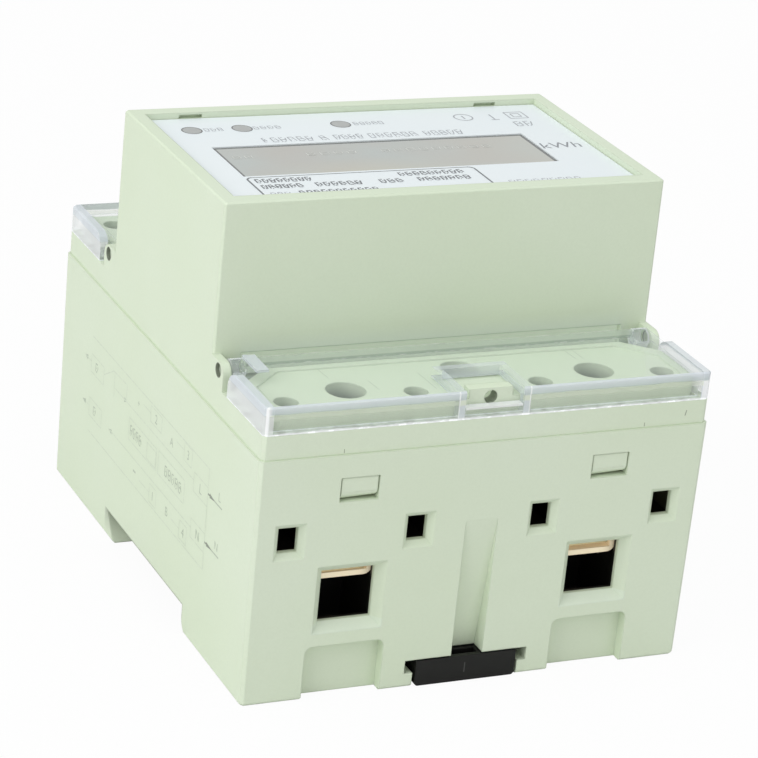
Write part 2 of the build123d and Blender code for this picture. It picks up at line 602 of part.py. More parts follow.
def upper_housing():
    body = block((-SIDE_X, SIDE_X), (-UPPER_FACE_Y, UPPER_FACE_Y), (PARTING_Z, RIM_Z))
    body = chamfer(body.edges().filter_by(Axis.Z), CORNER_CHAMFER)
    box_height = HEIGHT - RIM_Z
    box = Pos(0, 0, RIM_Z) * extrude(
        Rectangle(2 * SIDE_X, BOX_LENGTH), box_height, taper=degrees(atan(BOX_DRAFT / box_height))
    )
    box = chamfer(box.edges().filter_by(lambda e: e.center().Z > RIM_Z + 1 and e.center().Z < HEIGHT - 1), 0.35)
    box = chamfer(box.faces().sort_by(Axis.Z)[-1].edges(), 0.3)
    body += box
    front = upper_front()
    body += front + HALF_TURN * front
    inner_x = SIDE_X - WALL
    hollow = block((-inner_x, inner_x), (-UPPER_FACE_Y + WALL, UPPER_FACE_Y - WALL), (PARTING_Z - 1, RIM_Z - WALL))
    step = platform(
        PLATFORM_FRONT_Y - WALL, PLATFORM_REAR_Y + WALL, PLATFORM_X - WALL, RIM_Z - WALL - 0.5, PLATFORM_Z - WALL
    )
    hollow += both_ends(step)
    hollow += block((-inner_x, inner_x), (-BOX_Y + WALL, BOX_Y - WALL), (PARTING_Z - 1, LEDGE_Z - LEDGE_THICKNESS))
    body -= hollow
    opening_x = RECESS_WIDTH / 2
    opening_y = RECESS_LENGTH / 2
    body -= block((-opening_x, opening_x), (-opening_y, opening_y), (LEDGE_Z, HEIGHT + 1))
    ledge_x = opening_x - LEDGE_WIDTH
    ledge_y = opening_y - LEDGE_WIDTH
    body -= block((-ledge_x, ledge_x), (-ledge_y, ledge_y), (LEDGE_Z - LEDGE_THICKNESS - 1, HEIGHT))
    undercut = block(
        (-WIDTH / 2 + UNDERCUT_END, WIDTH / 2 - UNDERCUT_END),
        (-BOX_Y - 0.1, -BOX_Y + UNDERCUT_DEPTH),
        (RIM_Z, RIM_Z + UNDERCUT_RISE),
    )
    body -= both_ends(undercut)
    for share in RIM_SLOT_X_SHARES:
        slot = (share * WIDTH - RIM_SLOT_WIDTH / 2, share * WIDTH + RIM_SLOT_WIDTH / 2)
        body -= block(slot, (opening_y - 0.1, opening_y + 0.9), (SHEET_TOP_Z, SHEET_TOP_Z + RIM_SLOT_HEIGHT))
    front_add = []
    front_cut = []
    for x in (-HOOK_X, HOOK_X):
        front_add.append(snap_hook(x))
    for x in (-MAIN_X, MAIN_X):
        front_add.append(access_guide(x, -MAIN_Y, MAIN_ACCESS_RADIUS, MAIN_TUBE_Z))
        front_cut.append(post(x, -MAIN_Y, MAIN_ACCESS_RADIUS, MAIN_TUBE_Z - 1, PLATFORM_Z + 1))
    for x in AUX_XS:
        front_add.append(access_guide(x, -AUX_Y, AUX_ACCESS_RADIUS, AUX_TUBE_Z))
        front_cut.append(post(x, -AUX_Y, AUX_ACCESS_RADIUS, AUX_TUBE_Z - 1, PLATFORM_Z + 1))
    half = HOUSING_BOSS_WIDTH / 2
    boss_y = (-HOUSING_SCREW_Y - half, -HOUSING_SCREW_Y + half)
    front_add.append(block((-half, half), boss_y, (PARTING_Z, PLATFORM_Z - WALL / 2)))
    front_cut.append(post(0, -HOUSING_SCREW_Y, HOUSING_HEAD_RADIUS + 0.1, HOUSING_HEAD_Z, PLATFORM_Z + 1))
    front_cut.append(
        turned(0, -HOUSING_SCREW_Y, HOUSING_SHANK_RADIUS + 0.2, PARTING_Z - 1, HOUSING_HEAD_Z + 1, hole=True)
    )
    seal_z = PLATFORM_Z + SEAL_RISE - SEAL_HOLE_DROP
    seal_y = -PLATFORM_FRONT_Y - 1
    seal_hole = Pos(0, seal_y, seal_z) * Rot(-90, 0, 0) * Cylinder(
        SEAL_HOLE_RADIUS, SEAL_DEPTH + 2, align=(Align.CENTER, Align.CENTER, Align.MIN)
    )
    front_cut.append(seal_hole)
    pin_hole = Pos(0, -HINGE_Y, HINGE_Z) * Rot(0, 90, 0) * Cylinder(PIN_RADIUS + PIN_CLEARANCE, WIDTH + 2)
    front_cut.append(pin_hole)
    for piece in front_add:
        body += piece + HALF_TURN * piece
    for piece in front_cut:
        body -= piece
        body -= HALF_TURN * piece
    for x_side in (-1, 1):
        for y in (-POST_Y, POST_Y):
            x_range = sorted((x_side * (inner_x + 0.5), x_side * (inner_x - POST_WIDTH)))
            y_range = (y - POST_LENGTH / 2, y + POST_LENGTH / 2)
            body += block(x_range, y_range, (DISPLAY_BOARD_Z - WALL, DISPLAY_BOARD_Z))
    return body


def clear_cover():
    """Front cover: a lidded tray with a sealing notch, hinge knuckles and stub pins."""
    y_front = -UPPER_FACE_Y
    y_rear = -HINGE_Y - 0.2
    body = block((-SIDE_X, SIDE_X), (y_front, y_rear), (RIM_Z, COVER_TOP_Z))
    corners = body.edges().filter_by(Axis.Z).group_by(Axis.Y)[0]
    body = chamfer(corners, CORNER_CHAMFER)
    top_edges = body.faces().sort_by(Axis.Z)[-1].edges()
    body = chamfer(top_edges.filter_by(lambda e: e.center().Y < y_rear - 1), 0.25)
    inner_x = SIDE_X - COVER_WALL
    body -= block((-inner_x, inner_x), (y_front + COVER_WALL, y_rear + 1), (RIM_Z - 1, COVER_UNDER_Z))
    side_start = -EAR_FRONT_Y - COVER_SIDE_START
    knuckle_out = SIDE_X - EAR_THICKNESS - EAR_SIDE_GAP
    knuckle_in = knuckle_out - KNUCKLE_LENGTH
    for side in (-1, 1):
        x_range = sorted((side * knuckle_out, side * (SIDE_X + 1)))
        body -= block(x_range, (side_start, y_rear + 1), (RIM_Z - 1, COVER_TOP_Z + 1))
        corner = block(
            x_range, (side_start - COVER_SIDE_ROUND, side_start + 1), (COVER_TOP_Z - COVER_SIDE_ROUND, COVER_TOP_Z + 1)
        )
        curve = Pos(0, side_start - COVER_SIDE_ROUND, COVER_TOP_Z - COVER_SIDE_ROUND) * Rot(0, 90, 0)
        body -= corner - curve * Cylinder(COVER_SIDE_ROUND, 2 * WIDTH)
    half = NOTCH_WIDTH / 2
    notch_y = y_front + NOTCH_DEPTH
    rim_range = (COVER_UNDER_Z - NOTCH_RIM_DROP, COVER_TOP_Z - 0.5)
    body += block((-half - NOTCH_RIM, half + NOTCH_RIM), (y_front + 0.5, notch_y + NOTCH_RIM), rim_range)
    for side in (-1, 1):
        x_range = sorted((side * half, side * (half + NOTCH_RIM)))
        body += block(x_range, (y_front + 0.2, y_front + COVER_WALL), (RIM_Z, COVER_UNDER_Z))
    body -= block((-half, half), (y_front - 1, notch_y), (RIM_Z + NOTCH_LIP, COVER_TOP_Z + 1))
    for side in (-1, 1):
        x_range = sorted((side * knuckle_in, side * knuckle_out))
        knuckle = Pos(side * (knuckle_in + knuckle_out) / 2, -HINGE_Y, HINGE_Z) * Rot(0, 90, 0) * Cylinder(
            KNUCKLE_RADIUS, KNUCKLE_LENGTH
        )
        arm = block(x_range, (y_rear - 2, -HINGE_Y), (HINGE_Z, COVER_TOP_Z - 0.3))
        pin_out = SIDE_X - PIN_END_GAP
        pin = Pos(side * (knuckle_in + pin_out) / 2, -HINGE_Y, HINGE_Z) * Rot(0, 90, 0) * Cylinder(
            PIN_RADIUS, pin_out - knuckle_in
        )
        body += knuckle + arm + pin
    tab_middle = -SIDE_X + COVER_TAB_INSET
    tab_x = (tab_middle - COVER_TAB_WIDTH / 2, tab_middle + COVER_TAB_WIDTH / 2)
    body += block(tab_x, (y_rear - COVER_TAB_LENGTH, y_rear), (COVER_TOP_Z - 0.5, COVER_TOP_Z + COVER_TAB_RISE))
    return body


def face_sheet():
    """Printed front sheet with the display opening."""
    half_x = RECESS_WIDTH / 2 - SHEET_CLEARANCE
    half_y = RECESS_LENGTH / 2 - SHEET_CLEARANCE
    sheet = block((-half_x, half_x), (-half_y, half_y), (SHEET_TOP_Z - SHEET_THICKNESS, SHEET_TOP_Z))
    sheet -= block(
        (DISPLAY_X - DISPLAY_WIDTH / 2, DISPLAY_X + DISPLAY_WIDTH / 2),
        (DISPLAY_Y - DISPLAY_LENGTH / 2, DISPLAY_Y + DISPLAY_LENGTH / 2),
        (LEDGE_Z, HEIGHT),
    )
    return sheet


def display_window():
    half_x = RECESS_WIDTH / 2 - SHEET_CLEARANCE
    half_y = RECESS_LENGTH / 2 - SHEET_CLEARANCE
    return block((-half_x, half_x), (-half_y, half_y), (LEDGE_Z, LEDGE_Z + WINDOW_THICKNESS))


def lcd_glass():
    """Two glass plates with the lower one longer, as its contact edge is."""
    upper = Pos(DISPLAY_X, DISPLAY_Y, GLASS_TOP_Z - GLASS_THICKNESS / 4) * Box(
        GLASS_WIDTH, GLASS_LENGTH, GLASS_THICKNESS / 2
    )
    lower = Pos(DISPLAY_X, DISPLAY_Y - 1, GLASS_TOP_Z - 3 * GLASS_THICKNESS / 4) * Box(
        GLASS_WIDTH, GLASS_LENGTH + 2, GLASS_THICKNESS / 2
    )
    return upper + lower


def lcd_holder():
    """White light box that frames the display glass on its board."""
    wide = GLASS_WIDTH + 2 * HOLDER_WALL
    long = GLASS_LENGTH + 2 + 2 * HOLDER_WALL
    z_range = (DISPLAY_BOARD_TOP_Z, HOLDER_TOP_Z)
    middle = (DISPLAY_X, DISPLAY_Y - 1)
    body = block((middle[0] - wide / 2, middle[0] + wide / 2), (middle[1] - long / 2, middle[1] + long / 2), z_range)
    pocket_x = (middle[0] - GLASS_WIDTH / 2 - STACK_GAP, middle[0] + GLASS_WIDTH / 2 + STACK_GAP)
    pocket_y = (middle[1] - GLASS_LENGTH / 2 - 1 - STACK_GAP, middle[1] + GLASS_LENGTH / 2 + 1 + STACK_GAP)
    body -= block(pocket_x, pocket_y, (GLASS_TOP_Z - GLASS_THICKNESS, HEIGHT))
    return body


def lamp(x):
    """Round lamp behind the window, on two leads up from the display board."""
    top = LEDGE_Z - STACK_GAP
    low = top - LAMP_BODY_HEIGHT
    body = turned(x, LAMP_Y, LAMP_BODY_RADIUS, low, top)
    for side in (-1.27, 1.27):
        body += block((x + side - 0.25, x + side + 0.25), (LAMP_Y - 0.25, LAMP_Y + 0.25), (DISPLAY_BOARD_TOP_Z, low))
    return body


def main_board():
    """Board on the posts and partitions, notched round the bosses of the housing screws."""
    z_range = (MAIN_BOARD_Z, MAIN_BOARD_TOP_Z)
    above = (MAIN_BOARD_Z - 1, MAIN_BOARD_TOP_Z + 1)
    body = block((-MAIN_BOARD_X, MAIN_BOARD_X), (-MAIN_BOARD_Y, MAIN_BOARD_Y), z_range)
    notch = HOUSING_BOSS_WIDTH / 2 + BOARD_HOLE_CLEARANCE
    body -= both_ends(block((-notch, notch), (-MAIN_BOARD_Y - 1, -HOUSING_SCREW_Y + notch), above))
    for x, y in BOARD_SCREW_PLACES:
        body -= turned(x, y, BOARD_SHANK_RADIUS + 0.2, *above, hole=True)
    for x in AUX_XS:
        body -= aux_tab_hole(x)
    half_x = SENSE_TAB / 2 + STACK_GAP
    half_y = SENSE_WIDTH / 2 + STACK_GAP
    for y in (-SHUNT_LENGTH / 4, SHUNT_LENGTH / 4):
        body -= block((-MAIN_X - half_x, -MAIN_X + half_x), (y - half_y, y + half_y), above)
    return body


def display_board():
    z_range = (DISPLAY_BOARD_Z, DISPLAY_BOARD_TOP_Z)
    return block((-MAIN_BOARD_X, MAIN_BOARD_X), (-DISPLAY_BOARD_Y, DISPLAY_BOARD_Y), z_range)


def board_header():
    """Row of pins in two plastic strips that joins the two boards."""
    x_low = HEADER_X_SHARE * MAIN_BOARD_X
    strip_x = (x_low - HEADER_PITCH / 2, x_low + (HEADER_PINS - 0.5) * HEADER_PITCH)
    middle = HEADER_Y_SHARE * INSIDE_Y
    strip_y = (middle - HEADER_STRIP / 2, middle + HEADER_STRIP / 2)
    body = block(strip_x, strip_y, (MAIN_BOARD_TOP_Z, MAIN_BOARD_TOP_Z + HEADER_STRIP))
    body += block(strip_x, strip_y, (DISPLAY_BOARD_Z - HEADER_STRIP, DISPLAY_BOARD_Z))
    half = HEADER_PIN / 2
    for index in range(HEADER_PINS):
        x = x_low + index * HEADER_PITCH
        body += block((x - half, x + half), (middle - half, middle + half), (MAIN_BOARD_TOP_Z, DISPLAY_BOARD_Z))
    return body


def drive_recess(x, y, z_top, radius):
    """Cross recess for a driver, with one long blade and one short blade."""
    long_blade = Pos(x, y, z_top) * Box(1.7 * radius, 0.34 * radius, 2 * DRIVE_DEPTH)
    short_blade = Pos(x, y, z_top) * Box(0.34 * radius, 1.1 * radius, 2 * DRIVE_DEPTH)
    return long_blade + short_blade


def terminal_screw(x, y, shank_radius, head_radius, z_tip, z_head, head_height):
    z_top = z_head + head_height
    body = turned(x, y, shank_radius, z_tip, z_head) + turned(x, y, head_radius, z_head, z_top)
    return body - drive_recess(x, y, z_top, head_radius)


def lift_cage(x, y, width, depth, plate, top_plate, z_bottom, z_under, radius, bore):
    """Bent strip cage that is open along Y, with a thick tapped top; radius is that of its lower bends."""
    z_top = z_under + top_plate
    body = block((x - width / 2, x + width / 2), (y - depth / 2, y + depth / 2), (z_bottom, z_top))
    body = fillet(body.edges().filter_by(Axis.Y).group_by(Axis.Z)[0], radius)
    body -= block((x - width / 2 + plate, x + width / 2 - plate), (y - depth, y + depth), (z_bottom + plate, z_under))
    return body - turned(x, y, bore, z_under - 1, z_top + 1, hole=True)


def busbar(x, y_low, y_high):
    half = BUSBAR_WIDTH / 2
    return block((x - half, x + half), (y_low, y_high), (BUSBAR_Z, BUSBAR_TOP_Z))


def shunt():
    """Resistance bridge welded between the two line busbars, with two sense tabs up to the board."""
    half = BUSBAR_WIDTH / 2
    y_end = SHUNT_LENGTH / 2
    z_low = BUSBAR_Z + (BUSBAR_THICKNESS - SHUNT_THICKNESS) / 2
    body = block((-MAIN_X - half, -MAIN_X + half), (-y_end, y_end), (z_low, z_low + SHUNT_THICKNESS))
    for y in (-y_end / 2, y_end / 2):
        body += block(
            (-MAIN_X - SENSE_TAB / 2, -MAIN_X + SENSE_TAB / 2),
            (y - SENSE_WIDTH / 2, y + SENSE_WIDTH / 2),
            (z_low, MAIN_BOARD_TOP_Z + 1),
        )
    return body


def aux_tab_y():
    return -PARTITION_Y - 0.15 - AUX_TAB_THICKNESS, -PARTITION_Y - 0.15


def aux_tab(x):
    """Contact tab in an auxiliary cage, bent up to a solder pin in the main board."""
    half = AUX_TAB_WIDTH / 2
    leg = aux_tab_y()
    front = -AUX_Y - AUX_CAGE_DEPTH / 2 + 0.4
    flat = block((x - half, x + half), (front, leg[1]), (AUX_TAB_Z, AUX_TAB_Z + AUX_TAB_THICKNESS))
    upright = block((x - half, x + half), leg, (AUX_TAB_Z, MAIN_BOARD_Z - 0.1))
    pin = block((x - half / 2, x + half / 2), leg, (MAIN_BOARD_Z - 0.5, MAIN_BOARD_TOP_Z + 1))
    return flat + upright + pin


def aux_tab_hole(x):
    leg = aux_tab_y()
    half = AUX_TAB_WIDTH / 4 + STACK_GAP
    y_range = (leg[0] - STACK_GAP, leg[1] + STACK_GAP)
    return block((x - half, x + half), y_range, (MAIN_BOARD_Z - 1, MAIN_BOARD_TOP_Z + 1))


def din_latch():
    """Rail latch: a T-section slide with a hooked nose, a lever eye, a stop slot and two spring legs."""
    half = LATCH_WIDTH / 2
    flange = CHANNEL_WIDE_X - LATCH_FLANGE_GAP
    y_front = -FACE_Y
    y_head = y_front + LATCH_HEAD
    y_end = -RAIL_SLOT_FRONT
    front = Plane.XZ.offset(FACE_Y) * Pos(0, (LATCH_BOTTOM + LATCH_HEIGHT) / 2) * Rectangle(
        LATCH_WIDTH, LATCH_HEIGHT - LATCH_BOTTOM
    )
    body = extrude(front, -(y_end - y_front))
    body = fillet(body.edges().filter_by(Axis.Y).group_by(Axis.Z)[0], LATCH_CORNER)
    body += block((-flange, flange), (y_head, y_end), (LATCH_LIP_HEIGHT + LATCH_FLANGE_GAP, LATCH_HEIGHT))
    nose = [
        (y_end - 0.5, LATCH_NOSE_BOTTOM - 0.6),
        (y_end + LATCH_NOSE - 0.8, LATCH_NOSE_BOTTOM),
        (y_end + LATCH_NOSE, LATCH_NOSE_BOTTOM + 1.2),
        (y_end + LATCH_NOSE, LATCH_NOSE_TOP),
        (y_end - 0.5, LATCH_NOSE_TOP),
    ]
    body += across(nose, -half + 0.6, half - 0.6)
    eye = LATCH_EYE_WIDTH / 2
    body -= block((-eye, eye), (y_front + 0.9, y_front + 0.9 + LATCH_EYE_DEPTH), (LATCH_HEIGHT - 2.4, HEIGHT))
    slot_front = STOP_Y - STOP_LENGTH / 2 - STOP_GAP
    slot_rear = STOP_Y + STOP_LENGTH / 2 + STOP_GAP + LATCH_TRAVEL
    slot = STOP_WIDTH / 2 + STOP_GAP
    body -= block((-slot, slot), (slot_front, slot_rear), (LATCH_LIP_HEIGHT, HEIGHT))
    for side in (-1, 1):
        x_range = sorted((side * (half - LATCH_LEG), side * (half - LATCH_LEG - LATCH_LEG_SLOT)))
        body -= block(x_range, (y_head + 2, y_head + 2 + LATCH_LEG_LENGTH), (-1, HEIGHT))
        x_open = sorted((side * (half - LATCH_LEG), side * (flange + 1)))
        body -= block(x_open, (y_head + 2 + LATCH_LEG_LENGTH - 1, y_head + 2 + LATCH_LEG_LENGTH), (-1, HEIGHT))
    return body


def housing_screws():
    screws = []
    for y in (-HOUSING_SCREW_Y, HOUSING_SCREW_Y):
        top = HOUSING_HEAD_Z + HOUSING_HEAD_HEIGHT
        screw = turned(0, y, HOUSING_HEAD_RADIUS, HOUSING_HEAD_Z, top)
        screw += turned(0, y, HOUSING_SHANK_RADIUS, HOUSING_HEAD_Z - HOUSING_SCREW_LENGTH, HOUSING_HEAD_Z)
        screws.append(screw - drive_recess(0, y, top, HOUSING_HEAD_RADIUS))
    return Compound(screws)


def board_screws():
    """Screws in two opposite corners of the main board."""
    screws = []
    for x, y in BOARD_SCREW_PLACES:
        top = MAIN_BOARD_TOP_Z + BOARD_HEAD_HEIGHT
        screw = turned(x, y, BOARD_HEAD_RADIUS, MAIN_BOARD_TOP_Z, top)
        screw += turned(x, y, BOARD_SHANK_RADIUS, MAIN_BOARD_TOP_Z - BOARD_SCREW_LENGTH, MAIN_BOARD_TOP_Z)
        screws.append(screw)
    return Compound(screws)


def on_board(x_range, y_range, height):
    """A boxed component that stands on the main board."""
    return block(x_range, y_range, (MAIN_BOARD_TOP_Z, MAIN_BOARD_TOP_Z + height))


def chip(x, y, width, length, legs):
    """Small chip with a row of legs along each long side."""
    bottom = MAIN_BOARD_TOP_Z + CHIP_STAND
    body = block((x - width / 2, x + width / 2), (y - length / 2, y + length / 2), (bottom, bottom + CHIP_HEIGHT))
    pitch = length / legs
    for side in (-1, 1):
        leg_x = sorted((x + side * width / 2, x + side * (width / 2 + CHIP_LEG_REACH)))
        for index in range(legs):
            leg_y = y - length / 2 + pitch * (index + 0.5)
            leg_z = (MAIN_BOARD_TOP_Z, bottom + CHIP_LEG)
            body += block(leg_x, (leg_y - CHIP_LEG / 2, leg_y + CHIP_LEG / 2), leg_z)
    return body


def transformer():
    """Supply transformer: a laminated core with three limbs round a wound bobbin."""
    width = CORE_WIDTH_SHARE * MAIN_BOARD_X
    front = -CORE_FRONT_SHARE * INSIDE_Y
    rear = CORE_REAR_SHARE * INSIDE_Y
    height = CORE_HEIGHT_SHARE * BOARD_SPACE
    limb = CORE_LIMB_SHARE * width
    hole = (width - 2 * limb - 1.6 * limb) / 2
    yoke = height - limb
    core = on_board((-width, 0), (front, rear), height)
    for low in (-width + limb, -limb - hole):
        core -= on_board((low, low + hole), (front - 1, rear + 1), yoke)
    overhang = WINDING_OVERHANG_SHARE * INSIDE_Y
    return core + on_board((-width + limb + 0.2, -limb - 0.2), (front - overhang, rear + overhang), yoke - 0.2)


def film_capacitor():
    x_range = (FILM_LOW_SHARE * MAIN_BOARD_X, FILM_HIGH_SHARE * MAIN_BOARD_X)
    y_range = (-FILM_FRONT_SHARE * INSIDE_Y, -FILM_REAR_SHARE * INSIDE_Y)
    return on_board(x_range, y_range, FILM_HEIGHT_SHARE * BOARD_SPACE)


def can_capacitors():
    radius = CAN_RADIUS_SHARE * MAIN_BOARD_X
    top = MAIN_BOARD_TOP_Z + CAN_HEIGHT_SHARE * BOARD_SPACE
    y = CAN_Y_SHARE * INSIDE_Y
    return Compound([turned(share * MAIN_BOARD_X, y, radius, MAIN_BOARD_TOP_Z, top) for share in CAN_X_SHARES])


def varistor():
    """Dipped disc on two straight leads."""
    x = VARISTOR_X_SHARE * MAIN_BOARD_X
    y = -VARISTOR_Y_SHARE * INSIDE_Y
    radius = VARISTOR_RADIUS_SHARE * BOARD_SPACE
    middle = MAIN_BOARD_TOP_Z + 1.35 * radius
    disc = Pos(x, y, middle) * Rot(90, 0, 0) * turned(0, 0, radius, -VARISTOR_THICKNESS / 2, VARISTOR_THICKNESS / 2)
    half = VARISTOR_LEAD / 2
    for lead_x in (x - radius / 2, x + radius / 2):
        disc += block((lead_x - half, lead_x + half), (y - half, y + half), (MAIN_BOARD_TOP_Z, middle))
    return disc


def build_parts():
    nodes = {
        "base_housing": base_housing(),
        "upper_housing": upper_housing(),
        "front_cover": clear_cover(),
        "rear_cover": HALF_TURN * clear_cover(),
        "face_sheet": face_sheet(),
        "display_window": display_window(),
        "lcd_glass": lcd_glass(),
        "lcd_holder": lcd_holder(),
        "display_board": display_board(),
        "main_board": main_board(),
        "board_header": board_header(),
        "supply_transformer": transformer(),
        "film_capacitor": film_capacitor(),
        "can_capacitors": can_capacitors(),
        "varistor": varistor(),
        "metering_chip": chip(
            METERING_X_SHARE * MAIN_BOARD_X, METERING_Y_SHARE * INSIDE_Y, METERING_WIDTH, METERING_LENGTH, 5
        ),
        "bus_chip": chip(-BUS_X_SHARE * MAIN_BOARD_X, BUS_Y_SHARE * INSIDE_Y, BUS_WIDTH, BUS_LENGTH, 3),
        "pulse_optocoupler": chip(
            -PULSE_X_SHARE * MAIN_BOARD_X, BUS_Y_SHARE * INSIDE_Y, PULSE_WIDTH, PULSE_LENGTH, 2
        ),
        "housing_screws": housing_screws(),
        "board_screws": board_screws(),
        "din_latch": din_latch(),
        "shunt": shunt(),
    }
    for name, x in LAMP_XS.items():
        nodes[name] = lamp(x)
    bar_end = MAIN_Y + CAGE_DEPTH / 2 - 0.2
    nodes["line_in_busbar"] = busbar(-MAIN_X, -bar_end, -SHUNT_LENGTH / 2)
    nodes["line_out_busbar"] = busbar(-MAIN_X, SHUNT_LENGTH / 2, bar_end)
    nodes["neutral_busbar"] = busbar(MAIN_X, -bar_end, bar_end)
    for name, (x, y) in MAIN_TERMINALS.items():
        nodes[name + "_screw"] = terminal_screw(
            x, y, MAIN_SCREW_RADIUS, MAIN_HEAD_RADIUS, BUSBAR_TOP_Z + CAGE_GAP, MAIN_HEAD_Z, MAIN_HEAD_HEIGHT
        )
        cage = lift_cage(
            x,
            y,
            CAGE_WIDTH,
            CAGE_DEPTH,
            CAGE_PLATE,
            CAGE_TOP_PLATE,
            CAGE_BOTTOM_Z,
            CAGE_TOP_UNDER_Z,
            CAGE_RADIUS,
            MAIN_SCREW_RADIUS + SCREW_CLEARANCE,
        )
        nodes[name + "_cage"] = Pos(0, 0, -CAGE_DROP[name]) * cage
    for index, x in enumerate(AUX_XS, start=1):
        nodes[f"aux_screw_{index}"] = terminal_screw(
            x,
            -AUX_Y,
            AUX_SCREW_RADIUS,
            AUX_HEAD_RADIUS,
            AUX_TAB_Z + AUX_TAB_THICKNESS + CAGE_GAP,
            AUX_HEAD_Z,
            AUX_HEAD_HEIGHT,
        )
        nodes[f"aux_cage_{index}"] = lift_cage(
            x,
            -AUX_Y,
            AUX_CAGE_WIDTH,
            AUX_CAGE_DEPTH,
            AUX_CAGE_PLATE,
            AUX_CAGE_TOP,
            AUX_CAGE_BOTTOM_Z,
            AUX_CAGE_UNDER_Z,
            AUX_CAGE_PLATE,
            AUX_SCREW_RADIUS + SCREW_CLEARANCE,
        )
        nodes[f"aux_tab_{index}"] = aux_tab(x)
    return nodes


os.makedirs("parts", exist_ok=True)
for node_name, node in build_parts().items():
    export_step(node, f"parts/{node_name}.step")
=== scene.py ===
import math
import bpy
from mathutils import Euler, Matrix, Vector


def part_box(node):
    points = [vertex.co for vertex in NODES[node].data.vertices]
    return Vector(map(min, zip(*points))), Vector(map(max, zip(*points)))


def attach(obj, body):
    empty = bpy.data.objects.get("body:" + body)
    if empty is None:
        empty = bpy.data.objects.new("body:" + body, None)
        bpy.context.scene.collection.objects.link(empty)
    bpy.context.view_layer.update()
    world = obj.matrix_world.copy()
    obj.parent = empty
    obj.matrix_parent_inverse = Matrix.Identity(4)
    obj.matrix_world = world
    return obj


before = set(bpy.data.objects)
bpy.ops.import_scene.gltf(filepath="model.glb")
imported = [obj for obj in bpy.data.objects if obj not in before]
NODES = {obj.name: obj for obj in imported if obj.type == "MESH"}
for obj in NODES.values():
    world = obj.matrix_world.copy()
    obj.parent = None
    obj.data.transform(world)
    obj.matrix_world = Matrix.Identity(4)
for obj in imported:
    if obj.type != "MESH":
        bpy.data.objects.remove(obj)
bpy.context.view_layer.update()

MM = 0.001


def place(node):
    """Corners of a CAD node in millimetres."""
    low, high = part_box(node)
    return [c / MM for c in low], [c / MM for c in high]


# Places on the housing, in millimetres. Both ends and both sides are alike.
LEFT_X = place("base_housing")[0][0]
PARTING_Z = place("base_housing")[1][2]
UPPER_FACE_Y = -place("front_cover")[0][1]
SHEET_TOP = place("face_sheet")[1][2]
WINDOW_TOP = place("display_window")[1][2]
SIDE_DRAFT = 0.2
RIM_Z = PARTING_Z + 4.0
PLATFORM_Z = RIM_Z + 2.7
COVER_TOP_Z = PLATFORM_Z + 1.9
COVER_UNDER_Z = COVER_TOP_Z - 1.45
UNDERCUT_TOP_Z = RIM_Z + 4.2
BOX_Y = 22.7
HINGE_Y = 25.4
HINGE_Z = RIM_Z + 2.8
CHAMBER_Y = 42.75
CHAMBER_X = 36.6
GROOVE_HALF = 2.7
MAIN_X = 21.2
SILL_HALF = 6.0
NOTCH_X = 4.9
HOOK_X = 21.3
HOOK_HALF = 2.95
HOOK_FACE_Y = 44.79
HOOK_BACK_Y = 43.5
HOOK_FOOT_Z = 34.7
HOOK_DROP_LEFT = 1.3
HOOK_DROP_RIGHT = 1.05
HOOK_CURL = 0.9

# Ink lies just above its surface, and what overlaps lies a few microns apart.
INK_LIFT = 0.012
LAYER_LIFT = 0.002
STROKE_LIFT = 0.003


def add_object(name, data):
    holder = bpy.data.objects.new(name, data)
    bpy.context.scene.collection.objects.link(holder)
    return holder


def evaluated_mesh(holder):
    """The final mesh of a scratch object, which is then removed."""
    graph = bpy.context.evaluated_depsgraph_get()
    mesh = bpy.data.meshes.new_from_object(holder.evaluated_get(graph))
    bpy.data.objects.remove(holder)
    return mesh


def add_piece(name, points, faces, material, body):
    """A visible piece from points in millimetres."""
    mesh = bpy.data.meshes.new(name)
    mesh.from_pydata([[c * MM for c in point] for point in points], [], faces)
    mesh.materials.append(material)
    mesh.update()
    piece = add_object(name, mesh)
    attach(piece, body)


# Nodes
def linear(r, g, b):
    """Eight-bit colour to the linear values that a shader socket takes."""
    shares = [c / 255 for c in (r, g, b)]
    return (*[c / 12.92 if c <= 0.04045 else ((c + 0.055) / 1.055) ** 2.4 for c in shares], 1.0)


BLACK = linear(0, 0, 0)
WHITE = linear(255, 255, 255)


def feed(tree, value, socket):
    """Links a wire or another node's socket, and sets anything else as the socket's own value."""
    if isinstance(value, Wire):
        value = value.socket
    if isinstance(value, bpy.types.NodeSocket):
        tree.links.new(value, socket)
    else:
        socket.default_value = value


def add_node(tree, kind, settings=None, sockets=None):
    """Any node: its settings are set first, then its sockets, given by name or number."""
    node = tree.nodes.new(kind)
    for key, value in (settings or {}).items():
        setattr(node, key, value)
    for key, value in (sockets or {}).items():
        feed(tree, value, node.inputs[key])
    return node


